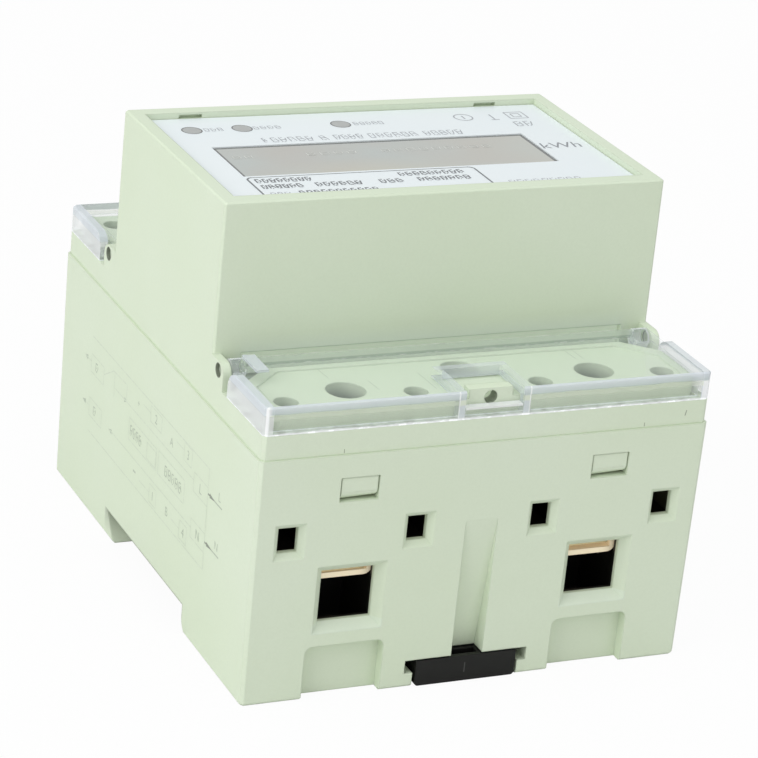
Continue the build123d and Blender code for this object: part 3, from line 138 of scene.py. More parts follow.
class Wire:
    """A number that flows through a material's nodes."""

    def __init__(self, finish, socket):
        self.finish = finish
        self.socket = socket

    def math(self, operation, other=0.0, clamp=False):
        settings = {"operation": operation, "use_clamp": clamp}
        return Wire(self.finish, self.finish.node("ShaderNodeMath", settings, {0: self, 1: other}))

    def __add__(self, other):
        return self.math("ADD", other)

    __radd__ = __add__

    def __mul__(self, other):
        return self.math("MULTIPLY", other)

    __rmul__ = __mul__

    def __sub__(self, other):
        return self.math("SUBTRACT", other)

    def __rsub__(self, other):
        return self * -1 + other

    def __truediv__(self, other):
        return self.math("DIVIDE", other)

    def __abs__(self):
        return self.math("ABSOLUTE")

    def highest(self, *others):
        """The highest of several masks."""
        result = self
        for other in others:
            result = result.math("MAXIMUM", other)
        return result

    def ramp(self, start, end):
        """0 before start and 1 after end, in a straight line between."""
        return ((self - start) / (end - start)).math("ADD", 0.0, clamp=True)

    def inside(self, low, high, soft=0.05):
        """1 between low and high."""
        return self.ramp(low - soft, low + soft) * self.ramp(high + soft, high - soft)


class Finish:
    """A material under construction, read in millimetres of the object."""

    def __init__(self, name, **constants):
        self.material = bpy.data.materials.new(name)
        self.material.use_nodes = True
        self.tree = self.material.node_tree
        self.shader = self.tree.nodes["Principled BSDF"]
        self.set(**constants)
        coordinates = self.node("ShaderNodeTexCoord", output="Object")
        self.spot = self.node(
            "ShaderNodeVectorMath", {"operation": "SCALE"}, {"Vector": coordinates, "Scale": 1 / MM}
        )
        parts = add_node(self.tree, "ShaderNodeSeparateXYZ", sockets={0: self.spot})
        self.x, self.y, self.z = (Wire(self, socket) for socket in parts.outputs)

    def node(self, kind, settings=None, sockets=None, output=0):
        """One output of any node."""
        return add_node(self.tree, kind, settings, sockets).outputs[output]

    def noise(self, scale, detail=3.0):
        """Noise between 0 and 1 with features of about 1/scale millimetres."""
        sockets = {"Vector": self.spot, "Scale": scale, "Detail": detail, "Roughness": 0.5}
        return Wire(self, self.node("ShaderNodeTexNoise", sockets=sockets))

    def mix(self, factor, first, second):
        """Colour between first and second."""
        sockets = {0: factor, 6: first, 7: second}
        return self.node("ShaderNodeMix", {"data_type": "RGBA"}, sockets, output=2)

    def rounded(self, radius_mm, samples):
        """Normal with the edges rounded off."""
        return self.node("ShaderNodeBevel", {"samples": samples}, {"Radius": radius_mm * MM})

    def bump(self, height, distance_mm, strength, edge_mm=0.0):
        sockets = {"Height": height, "Distance": distance_mm * MM, "Strength": strength}
        if edge_mm:
            sockets["Normal"] = self.rounded(edge_mm, 6)
        self.set(Normal=self.node("ShaderNodeBump", sockets=sockets))

    def set(self, **sockets):
        """Feeds the shader's sockets and gives the material."""
        for key, value in sockets.items():
            feed(self.tree, value, self.shader.inputs[key.replace("_", " ")])
        return self.material


# Finishes: the numbers in masks are places on the object in millimetres
PALE_GREEN = (215, 227, 202)
PALE_GREEN_LIGHT = (218, 229, 207)


def moulded_grain(finish, edge_mm=0.3):
    """The faint spark-eroded grain of a matt moulding, with softly rounded edges."""
    grain = finish.noise(5.0, 2.0) * 0.6 + finish.noise(1.2, 2.0) * 0.4
    finish.bump(grain, 0.035, 0.35, edge_mm)


def housing_tint(finish, dark):
    """Pale grey-green plastic with painted shade that goes to near black where dark is 1."""
    cloud = finish.noise(0.035)
    speck = finish.noise(2.2, 2.0)
    pale = finish.mix(cloud.ramp(0.3, 0.7), linear(*PALE_GREEN), linear(*PALE_GREEN_LIGHT))
    pale = finish.mix(speck.ramp(0.35, 0.75) * 0.25, pale, linear(208, 220, 196))
    return finish.mix(dark, pale, linear(12, 12, 9))


def from_hinge(finish):
    """Square of the distance from the nearer hinge axis."""
    along, up = abs(finish.y) - HINGE_Y, finish.z - HINGE_Z
    return along * along + up * up


def base_plastic():
    """Lower housing: painted shade near black in its chambers and darker in the rail slot, and a painted
    highlight on the main entries' sills.
    """
    finish = Finish("base_plastic", Roughness=0.5)
    x, y, z = abs(finish.x), abs(finish.y), finish.z
    beside_groove = x.ramp(GROOVE_HALF + 0.3, GROOVE_HALF + 0.4)
    # Painted shade: near black in the chambers behind the entries.
    inside = y.ramp(CHAMBER_Y, CHAMBER_Y - 0.15) * x.ramp(CHAMBER_X, CHAMBER_X - 0.7) * z.ramp(5.2, 5.5)
    # Painted shade in the rail slot, darker towards its top.
    slot = y.ramp(19.0, 18.4) * z.ramp(0.8, 4.4) * z.ramp(4.9, 4.8)
    # Painted highlight on the upward-facing sills of the main entries.
    sill = abs(x - MAIN_X).ramp(SILL_HALF, SILL_HALF - 0.1) * z.inside(11.1, 12.65) * y.inside(43.25, 44.9)
    moulded_grain(finish)
    tint = housing_tint(finish, (inside * beside_groove).highest(slot * 0.35))
    return finish.set(Base_Color=finish.mix(sill * 0.2, tint, linear(226, 238, 232)))


def upper_plastic():
    """Upper housing: painted shade down the guide, hinge and sealing holes, and painted light, as a paler
    colour and a glow, for the light that the clear cover and the pale walls throw back on the undercut and on
    the foot of the box."""
    finish = Finish("upper_plastic", Roughness=0.5, Emission_Strength=1.0)
    x, y, z = abs(finish.x), abs(finish.y), finish.z
    # Painted shade below the platform, in the hinge bores and in the sealing holes.
    below = z.ramp(PLATFORM_Z - 0.6, PLATFORM_Z - 4.0) * y.ramp(43.2, 42.4) * x.ramp(36.2, 35.5)
    hinge_bore = from_hinge(finish).ramp(1.5, 1.3) * x.ramp(36.0, 36.2)
    seal_z = z - PLATFORM_Z - 0.05
    seal_bore = (x * x + seal_z * seal_z).ramp(1.6, 1.35) * (finish.x - seal_z).ramp(-0.3, 0.5)
    seal_bore = seal_bore * y.inside(40.9, 43.0)
    shaded = (below * 0.8).highest(hinge_bore * 0.7, seal_bore * 0.6)
    # Painted light: a paler colour in the undercut under the box.
    undercut = y.inside(BOX_Y - 1.2, BOX_Y - 0.1) * x.ramp(33.2, 32.8)
    undercut = undercut * z.inside(RIM_Z + 0.3, UNDERCUT_TOP_Z + 0.1)
    # Painted light: a glow on the foot of the box, strongest at its lower edge.
    box_foot = y.inside(BOX_Y - 0.3, BOX_Y + 0.2) * x.ramp(34.5, 32.0)
    box_foot = box_foot * z.ramp(UNDERCUT_TOP_Z + 2.8, UNDERCUT_TOP_Z)
    tint = finish.mix(undercut, housing_tint(finish, shaded), linear(228, 238, 226))
    # Painted light: a glow in the undercut, stronger towards its top.
    depth = z.ramp(UNDERCUT_TOP_Z - 0.3, RIM_Z + 1.5)
    box_glow = finish.mix(box_foot, BLACK, linear(57, 63, 75))
    undercut_glow = finish.mix(depth, linear(112, 118, 106), linear(74, 78, 66))
    moulded_grain(finish)
    return finish.set(Base_Color=tint, Emission_Color=finish.mix(undercut, box_glow, undercut_glow))


class CoverMasks:
    """Where the edges, walls, posts and knuckles of a clear cover lie, each from 0 to 1, for the cover's
    painted reflections, glints and shade.
    """

    def __init__(self, finish):
        x, y, z = abs(finish.x), abs(finish.y), finish.z
        sockets = {0: finish.rounded(0.3, 8), 1: finish.node("ShaderNodeNewGeometry", output="Normal")}
        flat = finish.node("ShaderNodeVectorMath", {"operation": "DOT_PRODUCT"}, sockets, output="Value")
        drift = finish.noise(0.3, 2.0)
        axis = from_hinge(finish)
        self.ripple = finish.noise(0.9, 2.0)
        # arris is 1 along the edges, where painted reflections and glints go.
        self.arris = Wire(finish, flat).ramp(0.98, 0.85)
        # Front wall: lip, corner posts, posts beside the notch, foot
        self.front = y.ramp(UPPER_FACE_Y - 0.4, UPPER_FACE_Y - 0.3)
        self.lip = self.front * (z + drift * 0.3).ramp(COVER_UNDER_Z + 0.2, COVER_UNDER_Z + 0.45)
        self.lip_shade = self.lip * z.ramp(COVER_TOP_Z - 0.3, COVER_UNDER_Z + 0.3)
        under_lip = (z + drift * 0.5).inside(COVER_UNDER_Z - 0.5, COVER_UNDER_Z + 0.4, 0.15)
        self.under_lip = self.front * under_lip
        self.right_post = self.front * finish.x.ramp(36.0, 36.15)
        self.left_post = self.front * finish.x.ramp(-36.5, -37.1)
        self.notch_posts = self.front * x.inside(NOTCH_X, NOTCH_X + 1.2, 0.1)
        self.post_glint = self.notch_posts * x.ramp(5.85, 5.95)
        # Painted glint: an uneven white line along the foot of the front wall.
        self.foot = self.front * (z + drift * 0.5 + self.ripple * 0.3).ramp(RIM_Z + 0.95, RIM_Z + 0.65)
        self.above_foot = self.front * z.ramp(RIM_Z + 1.5, RIM_Z + 0.5)
        # Side walls, rear edge, notch
        self.side = x.ramp(36.2, 36.3) * y.ramp(29.4, 29.6)
        self.side_top = self.side * z.ramp(COVER_UNDER_Z - 0.1, COVER_UNDER_Z + 0.1)
        self.rear_edge = y.ramp(25.9, 25.7) * x.ramp(33.5, 33.2) * z.ramp(COVER_UNDER_Z - 0.1, COVER_UNDER_Z)
        self.rear_foot = self.rear_edge * z.ramp(COVER_UNDER_Z + 0.5, COVER_UNDER_Z + 0.35)
        self.notch_wall = y.inside(34.3, 35.75) * x.ramp(6.2, 6.1)
        self.notch_side = x.inside(4.8, 6.15) * y.ramp(35.4, 35.6)
        notch_lip = y.ramp(43.2, 43.4) * x.ramp(NOTCH_X, NOTCH_X - 0.1)
        self.notch_lip = notch_lip * z.ramp(RIM_Z + 1.45, RIM_Z + 1.65)
        # Plate, lifting tab, knuckles with their pins, underside
        self.plate = z.ramp(COVER_TOP_Z - 0.05, COVER_TOP_Z)
        self.sheen = self.plate * (finish.x + y * 0.5).ramp(47.7, 48.3)
        self.tab = (finish.x + 33.1).inside(-1.1, 1.1) * z.ramp(COVER_TOP_Z + 0.05, COVER_TOP_Z + 0.1)
        knuckle = x.ramp(33.5, 33.7) * y.ramp(27.6, 27.2) * axis.ramp(2.9, 2.75)
        # ring: a painted glint round each knuckle's bore; pupil: painted shade in its middle; pin_end: a pale
        # painted disc on the pin's end.
        self.ring = knuckle * (axis + self.ripple).ramp(1.9, 2.2)
        self.pupil = knuckle * (axis + self.ripple).ramp(1.5, 1.1)
        self.pin_end = x.ramp(36.3, 36.5) * axis.ramp(1.3, 1.2)
        # bottom: the foot of the walls, which gets a painted glow.
        self.bottom = z.ramp(RIM_Z + 0.35, RIM_Z + 0.1)


def clear_plastic():
    """Clear cover: all but unseen over its faces, with lavender grey painted reflections and white painted
    glints on its edges.
    """
    finish = Finish("clear_plastic", Roughness=0.05, Emission_Strength=1.0)
    cover = CoverMasks(finish)
    # Lavender grey painted reflections on the lip, posts, walls, tab, notch and edges.
    lavender = cover.lip.highest(
        cover.right_post, cover.notch_posts * 0.9, cover.side_top, cover.tab, cover.notch_wall,
        cover.notch_side * 0.7, cover.arris * 0.6,
    )
    # White painted glints and highlights on the foot, corners, knuckle rings, plate, side walls, edges and
    # notch.
    white = cover.foot.highest(
        cover.left_post, cover.ring * 0.8, cover.sheen * 0.4, cover.side * (1 - cover.side_top) * 0.9,
        cover.arris * cover.ripple.ramp(0.5, 0.65), cover.post_glint, cover.notch_lip,
    )
    # Colours in order: pale painted light on the front wall, lavender painted reflections, painted shade on
    # the lower lip, a pale painted strip on the rear edge, painted shade at its foot and in the knuckle
    # pupils, pale painted discs on the pin ends, pale painted light under the lip, and white painted glints.
    tint = linear(228, 240, 244)
    for mask, colour in (
        (cover.front * (1 - cover.lip), (225, 233, 220)),
        (lavender, (214, 221, 227)),
        (cover.lip_shade * 0.8, (188, 200, 199)),
        (cover.rear_edge, (205, 217, 199)),
        (cover.rear_foot, (158, 174, 158)),
        (cover.pupil * 0.5, (170, 180, 172)),
        (cover.pin_end, (206, 218, 196)),
        (cover.under_lip * (1 - cover.lip), (226, 233, 214)),
        (white, (250, 251, 252)),
    ):
        tint = finish.mix(mask, tint, linear(*colour))
    # Alpha: a faint cloudiness over the whole cover, and how strongly each painted reflection, glint and
    # shade shows.
    haze_and_painted_light_alpha = (cover.lip * 0.8).highest(cover.foot * cover.ripple.ramp(0.35, 0.6) * 0.95, 0.05)
    for share, mask in (
        (0.93, cover.right_post), (0.85, cover.left_post), (0.75, cover.notch_posts), (0.58, cover.side),
        (0.85, cover.side_top), (0.6, cover.rear_edge), (0.55, cover.notch_wall), (0.32, cover.notch_side),
        (0.85, cover.tab), (0.75, cover.ring), (0.45, cover.pupil), (0.7, cover.foot), (0.18, cover.sheen),
        (0.35, cover.arris), (0.1, cover.plate), (0.2, cover.front), (0.4, cover.under_lip),
        (0.4, cover.above_foot), (0.7, cover.notch_lip), (0.85, cover.pin_end), (0.75, cover.bottom),
    ):
        haze_and_painted_light_alpha = haze_and_painted_light_alpha.highest(mask * share)
    finish.bump(finish.noise(0.25, 1.0), 0.02, 0.2)
    # Painted light: a glow along the bottom of the walls, where the clear plastic carries light.
    glow = finish.mix(cover.bottom * cover.ripple.ramp(0.2, 0.6), BLACK, linear(150, 152, 156))
    return finish.set(Base_Color=tint, Alpha=haze_and_painted_light_alpha, Emission_Color=glow)


def printed_film():
    finish = Finish("printed_film", Roughness=0.35)
    tint = finish.mix(finish.noise(0.05, 2.0), linear(232, 240, 243), linear(235, 241, 242))
    finish.bump(finish.noise(3.0, 2.0), 0.01, 0.3)
    return finish.set(Base_Color=tint)


def display_face():
    """The window over the display: grey-beige in the opening, a thin dark frame, pale plastic outside."""
    finish = Finish("display_face", Roughness=0.18)
    x, y = finish.x, finish.y
    opening = x.inside(-28.55, 25.15, 0.03) * y.inside(-8.3, 4.75, 0.03)
    framed = x.inside(-29.6, 26.2, 0.03) * y.inside(-9.4, 5.8, 0.03)
    tint = finish.mix(finish.noise(0.05, 2.0).ramp(0.35, 0.65), linear(186, 183, 176), linear(184, 190, 186))
    tint = finish.mix(x.ramp(0, 26) * 0.5, tint, linear(196, 196, 186))
    tint = finish.mix(y.ramp(-2, -8) * x.inside(-18, 4, 8) * 0.5, tint, linear(198, 194, 176))
    tint = finish.mix(opening, linear(112, 113, 112), tint)
    return finish.set(Base_Color=finish.mix(1 - framed, tint, linear(214, 218, 220)))


def lamp_lens():
    finish = Finish("lamp_lens", Roughness=0.4)
    tint = finish.mix(finish.noise(0.8, 2.0), linear(168, 170, 168), linear(184, 186, 184))
    return finish.set(Base_Color=tint)


def latch_plastic():
    """Black rail latch with a short moulded line on its face."""
    finish = Finish("latch_plastic", Roughness=0.42, Specular_IOR_Level=0.25)
    moulded_grain(finish, 0.25)
    mark = abs(finish.x + 0.2).ramp(0.12, 0.05) * finish.z.inside(1.6, 3.3) * finish.y.ramp(-44.8, -44.9)
    tint = finish.mix(finish.noise(0.3, 2.0), linear(20, 20, 19), linear(28, 28, 26))
    return finish.set(Base_Color=finish.mix(mark, tint, linear(70, 71, 70)))


def cage_metal():
    """Tinned cages, with a glow of painted light for the light that the pale funnels throw into them."""
    glow = linear(108, 97, 78)
    finish = Finish("cage_metal", Roughness=0.4, Emission_Color=glow, Emission_Strength=1.0)
    finish.bump(finish.noise(4.0, 2.0), 0.02, 0.3, 0.15)
    return finish.set(Base_Color=finish.mix(finish.noise(0.5), linear(255, 244, 216), linear(250, 234, 202)))


def plain_metal(name, first, second, roughness):
    finish = Finish(name, Metallic=0.9)
    wear = finish.noise(1.5)
    finish.bump(finish.noise(6.0, 2.0), 0.015, 0.3, 0.1)
    tint = finish.mix(wear, linear(*first), linear(*second))
    return finish.set(Base_Color=tint, Roughness=roughness + wear * 0.15)


def plain_plastic(name, first, second, roughness):
    finish = Finish(name, Roughness=roughness)
    finish.bump(finish.noise(3.0, 2.0), 0.02, 0.3, 0.15)
    return finish.set(Base_Color=finish.mix(finish.noise(0.4), linear(*first), linear(*second)))


def ink(name, colour):
    """Print that is a little paler where it is thin."""
    finish = Finish(name, Roughness=0.6)
    thin = finish.noise(1.5, 2.0).ramp(0.4, 0.8)
    return finish.set(Base_Color=finish.mix(thin, linear(*colour), linear(*[c + 14 for c in colour])))


FINISHES = {
    "base": base_plastic(),
    "upper": upper_plastic(),
    "clear": clear_plastic(),
    "film": printed_film(),
    "display": display_face(),
    "lamp": lamp_lens(),
    "latch": latch_plastic(),
    "cage": cage_metal(),
    "hook": plain_plastic("hook_plastic", PALE_GREEN, PALE_GREEN_LIGHT, 0.5),
    "zinc": plain_metal("zinc_plate", (196, 198, 200), (168, 168, 166), 0.32),
    "brass": plain_metal("tinned_brass", (222, 205, 160), (200, 182, 138), 0.35),
    "shunt_alloy": plain_metal("shunt_alloy", (180, 150, 126), (160, 132, 108), 0.4),
    "core": plain_metal("core_sheet", (120, 122, 126), (90, 92, 96), 0.45),
    "board": plain_plastic("board_mask", (28, 92, 58), (20, 76, 48), 0.35),
    "glass": plain_plastic("display_glass", (186, 190, 180), (176, 180, 170), 0.15),
    "white": plain_plastic("white_moulding", (236, 236, 230), (226, 226, 220), 0.5),
    "black": plain_plastic("black_moulding", (28, 28, 28), (38, 38, 38), 0.45),
    "yellow": plain_plastic("film_capacitor_case", (226, 184, 62), (214, 170, 52), 0.4),
    "can": plain_plastic("capacitor_sleeve", (30, 34, 44), (38, 42, 54), 0.35),
    "blue": plain_plastic("varistor_coat", (34, 78, 160), (28, 68, 146), 0.35),
}
NODE_FINISH = {
    "base_housing": "base", "upper_housing": "upper", "front_cover": "clear", "rear_cover": "clear",
    "face_sheet": "film", "display_window": "display", "lcd_glass": "glass", "lcd_holder": "white",
    "display_board": "board", "main_board": "board", "board_header": "black", "supply_transformer": "core",
    "film_capacitor": "yellow", "can_capacitors": "can", "varistor": "blue", "metering_chip": "black",
    "bus_chip": "black", "pulse_optocoupler": "white", "housing_screws": "zinc", "board_screws": "zinc",
    "com_led": "lamp", "pulse_led": "lamp", "power_led": "lamp", "shunt": "shunt_alloy",
    "line_in_busbar": "brass", "line_out_busbar": "brass", "neutral_busbar": "brass", "din_latch": "latch",
}
TERMINAL_FINISH = {"_cage": "cage", "_screw": "zinc", "_tab": "brass"}
for node_name, node in NODES.items():
    finish_name = NODE_FINISH.get(node_name)
    for part, terminal_finish in TERMINAL_FINISH.items():
        if finish_name is None and part in node_name:
            finish_name = terminal_finish
    for material_slot in node.material_slots:
        material_slot.material = FINISHES[finish_name]


# Rows of neutral marks
LETTER_INPUTS = (
    ("Count", "NodeSocketInt"),
    ("Pitch", "NodeSocketFloat"),
    ("Width", "NodeSocketFloat"),
    ("Height", "NodeSocketFloat"),
    ("Stroke", "NodeSocketFloat"),
    ("Seed", "NodeSocketInt"),
    ("Ink", "NodeSocketMaterial"),
)
# Each stroke: its place as shares of the letter, its two sizes, its least scale, its greatest lean in radians
LETTER_STROKES = (
    (0.0, 0.0, "Stroke", "Height", (1.0, 0.9, 1.0), 0.0),
    (1.0, 0.0, "Stroke", "Height", (1.0, 0.45, 1.0), 0.35),
    (0.5, 0.46, "Width", "Stroke", (0.3, 1.0, 1.0), 0.0),
    (0.5, 0.0, "Width", "Stroke", (0.1, 1.0, 1.0), 0.3),
    (0.5, -0.46, "Width", "Stroke", (0.1, 1.0, 1.0), 0.0),
)
LETTER_FILL = 0.58
LEAN_SALT = 10


def letter_tree():
    """A row of marks with the weight of small type: two uprights and three bars each, all of uneven size."""
    tree = bpy.data.node_groups.new("letter_row", "GeometryNodeTree")
    for name, kind in LETTER_INPUTS:
        tree.interface.new_socket(name, in_out="INPUT", socket_type=kind)
    tree.interface.new_socket("Geometry", in_out="OUTPUT", socket_type="NodeSocketGeometry")
    given = tree.nodes.new("NodeGroupInput").outputs

    def made(kind, settings=None, **sockets):
        named = {key.replace("_", " "): value for key, value in sockets.items()}
        return add_node(tree, kind, settings, named).outputs[0]

    def figure(operation, value, other):
        return add_node(tree, "ShaderNodeMath", {"operation": operation}, {0: value, 1: other}).outputs[0]

    def chance(kind, low, high, salt):
        node = add_node(
            tree, "FunctionNodeRandomValue", {"data_type": kind}, {"Seed": figure("ADD", given["Seed"], salt)}
        )
        ends = [socket for socket in node.inputs if socket.enabled and socket.name in ("Min", "Max")]
        ends[0].default_value, ends[1].default_value = low, high
        return next(socket for socket in node.outputs if socket.enabled)

    step = made("ShaderNodeCombineXYZ", X=given["Pitch"])
    line = made("GeometryNodeMeshLine", Count=given["Count"], Offset=step)
    joined = tree.nodes.new("GeometryNodeJoinGeometry")
    for order, (across, along, size_x, size_y, least, lean) in enumerate(LETTER_STROKES):
        quad = made(
            "GeometryNodeMeshGrid", Size_X=given[size_x], Size_Y=given[size_y], Vertices_X=2, Vertices_Y=2
        )
        turn = made("ShaderNodeCombineXYZ", Z=chance("FLOAT", -lean, lean, order + LEAN_SALT))
        scale = chance("FLOAT_VECTOR", least, (1.0, 1.0, 1.0), order)
        marks = made("GeometryNodeInstanceOnPoints", Points=line, Instance=quad, Rotation=turn, Scale=scale)
        offset = made(
            "ShaderNodeCombineXYZ", X=figure("MULTIPLY", given["Width"], across),
            Y=figure("MULTIPLY", given["Height"], along), Z=order * STROKE_LIFT * MM,
        )
        moved = made("GeometryNodeTransform", Geometry=marks, Translation=offset)
        tree.links.new(moved, joined.inputs[0])
    real = made("GeometryNodeRealizeInstances", Geometry=joined.outputs[0])
    paint = made("GeometryNodeSetMaterial", Geometry=real, Material=given["Ink"])
    tree.links.new(paint, tree.nodes.new("NodeGroupOutput").inputs[0])
    return tree


LETTERS = letter_tree()


def letter_row(values):
    """The tree's result as a plain mesh, starting at the origin and running along X."""
    holder = add_object("letter_holder", bpy.data.meshes.new("letter_holder"))
    modifier = holder.modifiers.new("row", "NODES")
    modifier.node_group = LETTERS
    for item in LETTERS.interface.items_tree:
        if item.in_out == "INPUT":
            modifier[item.identifier] = values[item.name]
    holder.update_tag()
    return evaluated_mesh(holder)


class Print:
    """Flat ink drawn in millimetres on a face of the housing."""

    def __init__(self, name, material, surface):
        self.name = name
        self.material = material
        self.surface = surface
        self.points = []
        self.faces = []

    def add(self, points, faces, lifts=None):
        """Ink without lifts of its own lies a few microns above or below what it overlaps."""
        start = len(self.points)
        lift = LAYER_LIFT * (len(self.faces) % 4)
        for index, (a, b) in enumerate(points):
            self.points.append((a, b, lifts[index] if lifts else lift))
        self.faces += [[start + index for index in face] for face in faces]

    def line(self, a0, b0, a1, b1, width):
        length = math.hypot(a1 - a0, b1 - b0)
        da, db = -(b1 - b0) / length * width / 2, (a1 - a0) / length * width / 2
        corners = [(a0 - da, b0 - db), (a1 - da, b1 - db), (a1 + da, b1 + db), (a0 + da, b0 + db)]
        self.add(corners, [(0, 1, 2, 3)])

    def lines(self, width, *rows):
        for row in rows:
            self.line(*row, width)

    def frame(self, a0, b0, a1, b1, width):
        self.lines(width, (a0, b0, a1, b0), (a0, b1, a1, b1), (a0, b0, a0, b1), (a1, b0, a1, b1))

    def arc(self, a, b, radius, start, end, width, steps=12):
        ring = []
        for index in range(steps + 1):
            angle = math.radians(start + (end - start) * index / steps)
            for r in (radius - width / 2, radius + width / 2):
                ring.append((a + r * math.cos(angle), b + r * math.sin(angle)))
        self.add(ring, [(2 * i, 2 * i + 1, 2 * i + 3, 2 * i + 2) for i in range(steps)])

    def disc(self, a, b, radius, steps=40):
        ring = [2 * math.pi * index / steps for index in range(steps)]
        corners = [(a + radius * math.cos(t), b + radius * math.sin(t)) for t in ring]
        self.add(corners, [tuple(range(steps))])

    def arrow(self, a, b, length, height):
        """A solid head that points along +a, or along -a for a negative length."""
        self.add([(a, b - height / 2), (a + length, b), (a, b + height / 2)], [(0, 1, 2)])

    def lettering(self, height, cell, stroke, *rows):
        """Neutral marks in place of words, in rows of start, end, middle height and seed."""
        for a0, a1, b, seed in rows:
            count = max(1, round((a1 - a0) / cell))
            pitch = (a1 - a0) / count
            mesh = letter_row({
                "Count": count, "Pitch": pitch * MM, "Width": pitch * LETTER_FILL * MM, "Height": height * MM,
                "Stroke": stroke * MM, "Seed": seed, "Ink": self.material,
            })
            points = [(a0 + v.co.x / MM, b + v.co.y / MM) for v in mesh.vertices]
            lifts = [v.co.z / MM for v in mesh.vertices]
            self.add(points, [tuple(p.vertices) for p in mesh.polygons], lifts)
            bpy.data.meshes.remove(mesh)

    def text(self, words, a, b, height, lean=0.0):
        """A sign of the given capital height, with its middle at a."""
        curve = bpy.data.curves.new("glyphs", "FONT")
        curve.body = words
        curve.size = height * 1.38
        curve.shear = lean
        curve.align_x = "CENTER"
        mesh = evaluated_mesh(add_object("glyphs", curve))
        points = [(a + v.co.x, b + v.co.y - height / 2) for v in mesh.vertices]
        self.add(points, [tuple(p.vertices) for p in mesh.polygons])
        bpy.data.meshes.remove(mesh)

    def finish(self, body, slot):
        points = [self.surface(a, b, INK_LIFT + lift) for a, b, lift in self.points]
        add_piece(self.name, points, self.faces, self.material, body)


def level(height):
    """A surface that lies flat at a height, with a along x and b along y."""
    return lambda a, b, lift: (a, b, height + lift)


def on_rim(a, b, lift):
    """The front of the rim, with a along x and b upwards."""
    return (a, -UPPER_FACE_Y - lift, b)


def on_side(a, b, lift):
    """The left side, with a towards the front terminals and b upwards."""
    return (LEFT_X + SIDE_DRAFT * (1 - b / PARTING_Z) - lift, -a, b)


# Print on the display sheet
LAMP_XS = (-29.25, -20.6, -3.25)
LAMP_Y = 13.75
RATING_ROWS = (
    (-28.0, -18.5, -11.2), (-3.8, 7.7, -11.2), (-28.0, -21.0, -13.9), (-19.0, -11.0, -13.9),
    (-8.2, -4.0, -13.9), (-1.6, 7.7, -13.9), (-23.0, -9.5, -17.2),
)


def display_print():
    """Title, rating box, unit and symbols as neutral marks and lines, and the round lamp windows."""
    on_sheet, on_window = level(SHEET_TOP), level(WINDOW_TOP)
    dark = Print("sheet_print_dark", ink("ink_dark", (118, 121, 124)), on_sheet)
    dark.line(-29.1, -18.2, -29.1, -10.4, 0.32)
    dark.line(-28.1, -9.5, 8.75, -9.5, 0.22)
    dark.line(9.75, -18.2, 9.75, -10.5, 0.32)
    dark.arc(-28.1, -10.5, 1.0, 90, 180, 0.3)
    dark.arc(8.75, -10.5, 1.0, 0, 90, 0.3)
    dark.lettering(1.7, 1.25, 0.26, *[(*row, 20 + index) for index, row in enumerate(RATING_ROWS)])
    middle = Print("sheet_print_middle", ink("ink_middle", (142, 146, 150)), on_sheet)
    middle.text("kWh", 29.6, -1.2, 2.7, 0.1)
    pale = Print("sheet_print_pale", ink("ink_pale", (168, 172, 176)), on_sheet)
    pale.lettering(
        2.2, 1.5, 0.2, (-19.4, -18.7, 7.5, 1), (-17.9, -10.3, 7.5, 2), (-9.4, -7.9, 7.5, 3),
        (-6.9, -1.6, 7.5, 4), (-0.8, 8.1, 7.5, 5), (9.1, 16.3, 7.5, 6),
    )
    pale.lettering(1.5, 1.15, 0.15, (-27.1, -23.6, 13.7, 7), (-18.6, -13.5, 13.7, 8), (-0.9, 4.7, 13.7, 9))
    pale.lettering(1.4, 1.2, 0.16, (-27.8, -24.3, -17.2, 40))
    pale.lettering(1.8, 1.4, 0.16, (12.8, 25.9, -17.3, 41))
    pale.arc(19.35, 14.5, 1.6, 0, 360, 0.25, 24)
    pale.lines(0.25, (19.35, 13.7, 19.35, 15.3), (24.5, 12.6, 24.5, 15.4), (23.8, 12.7, 25.3, 12.7))
    pale.frame(27.5, 12.9, 30.8, 16.1, 0.22)
    pale.frame(28.4, 13.7, 29.9, 15.3, 0.2)
    pale.lettering(2.4, 1.85, 0.24, (27.0, 30.7, 10.1, 44))
    for layer in (dark, middle, pale):
        layer.finish("meter", "printed_sheet")
    lamps = Print("lamp_windows", FINISHES["lamp"], on_sheet)
    rings = Print("lamp_rings", ink("ink_ring", (104, 106, 106)), on_sheet)
    for x in LAMP_XS:
        lamps.disc(x, LAMP_Y, 1.55)
        rings.arc(x, LAMP_Y, 1.64, 0, 360, 0.2, 40)
    lamps.finish("meter", "lamp_lens")
    rings.finish("meter", "printed_sheet")
    lit = Print("display_segments", ink("segment_pale", (200, 202, 196)), on_window)
    lit.lettering(1.3, 2.3, 0.2, (-27.2, -23.2, 0.6, 50), (-14.6, -5.2, 0.6, 51), (-1.6, 18.6, 0.6, 52))
    lit.finish("meter", "display_glass")


def mould_marks():
    """Faint flow lines on the front platform and small marks on the rim above the parting line."""
    faint = Print("platform_flow_lines", ink("mark_faint", (190, 202, 180)), level(PLATFORM_Z))
    for a, b0, b1 in (
        (-22.0, -31.5, -27.8), (-16.0, -37.0, -33.5), (-7.0, -38.5, -32.0), (20.5, -31.5, -27.8),
        (21.8, -31.5, -27.8),
    ):
        faint.line(a, b0, a - 0.3, b1, 0.16)
    faint.finish("meter", "housing")
    ticks = Print("rim_marks", ink("mark_tick", (150, 158, 138)), on_rim)
    for a in (-24.4, 26.6):
        ticks.line(a, PARTING_Z + 0.25, a, PARTING_Z + 0.9, 0.12)
    ticks.line(33.7, PARTING_Z + 1.5, 33.9, PARTING_Z + 2.4, 0.16)
    ticks.finish("meter", "housing")


# Print on the left side
LINE_B, NEUTRAL_B = 26.7, 18.8


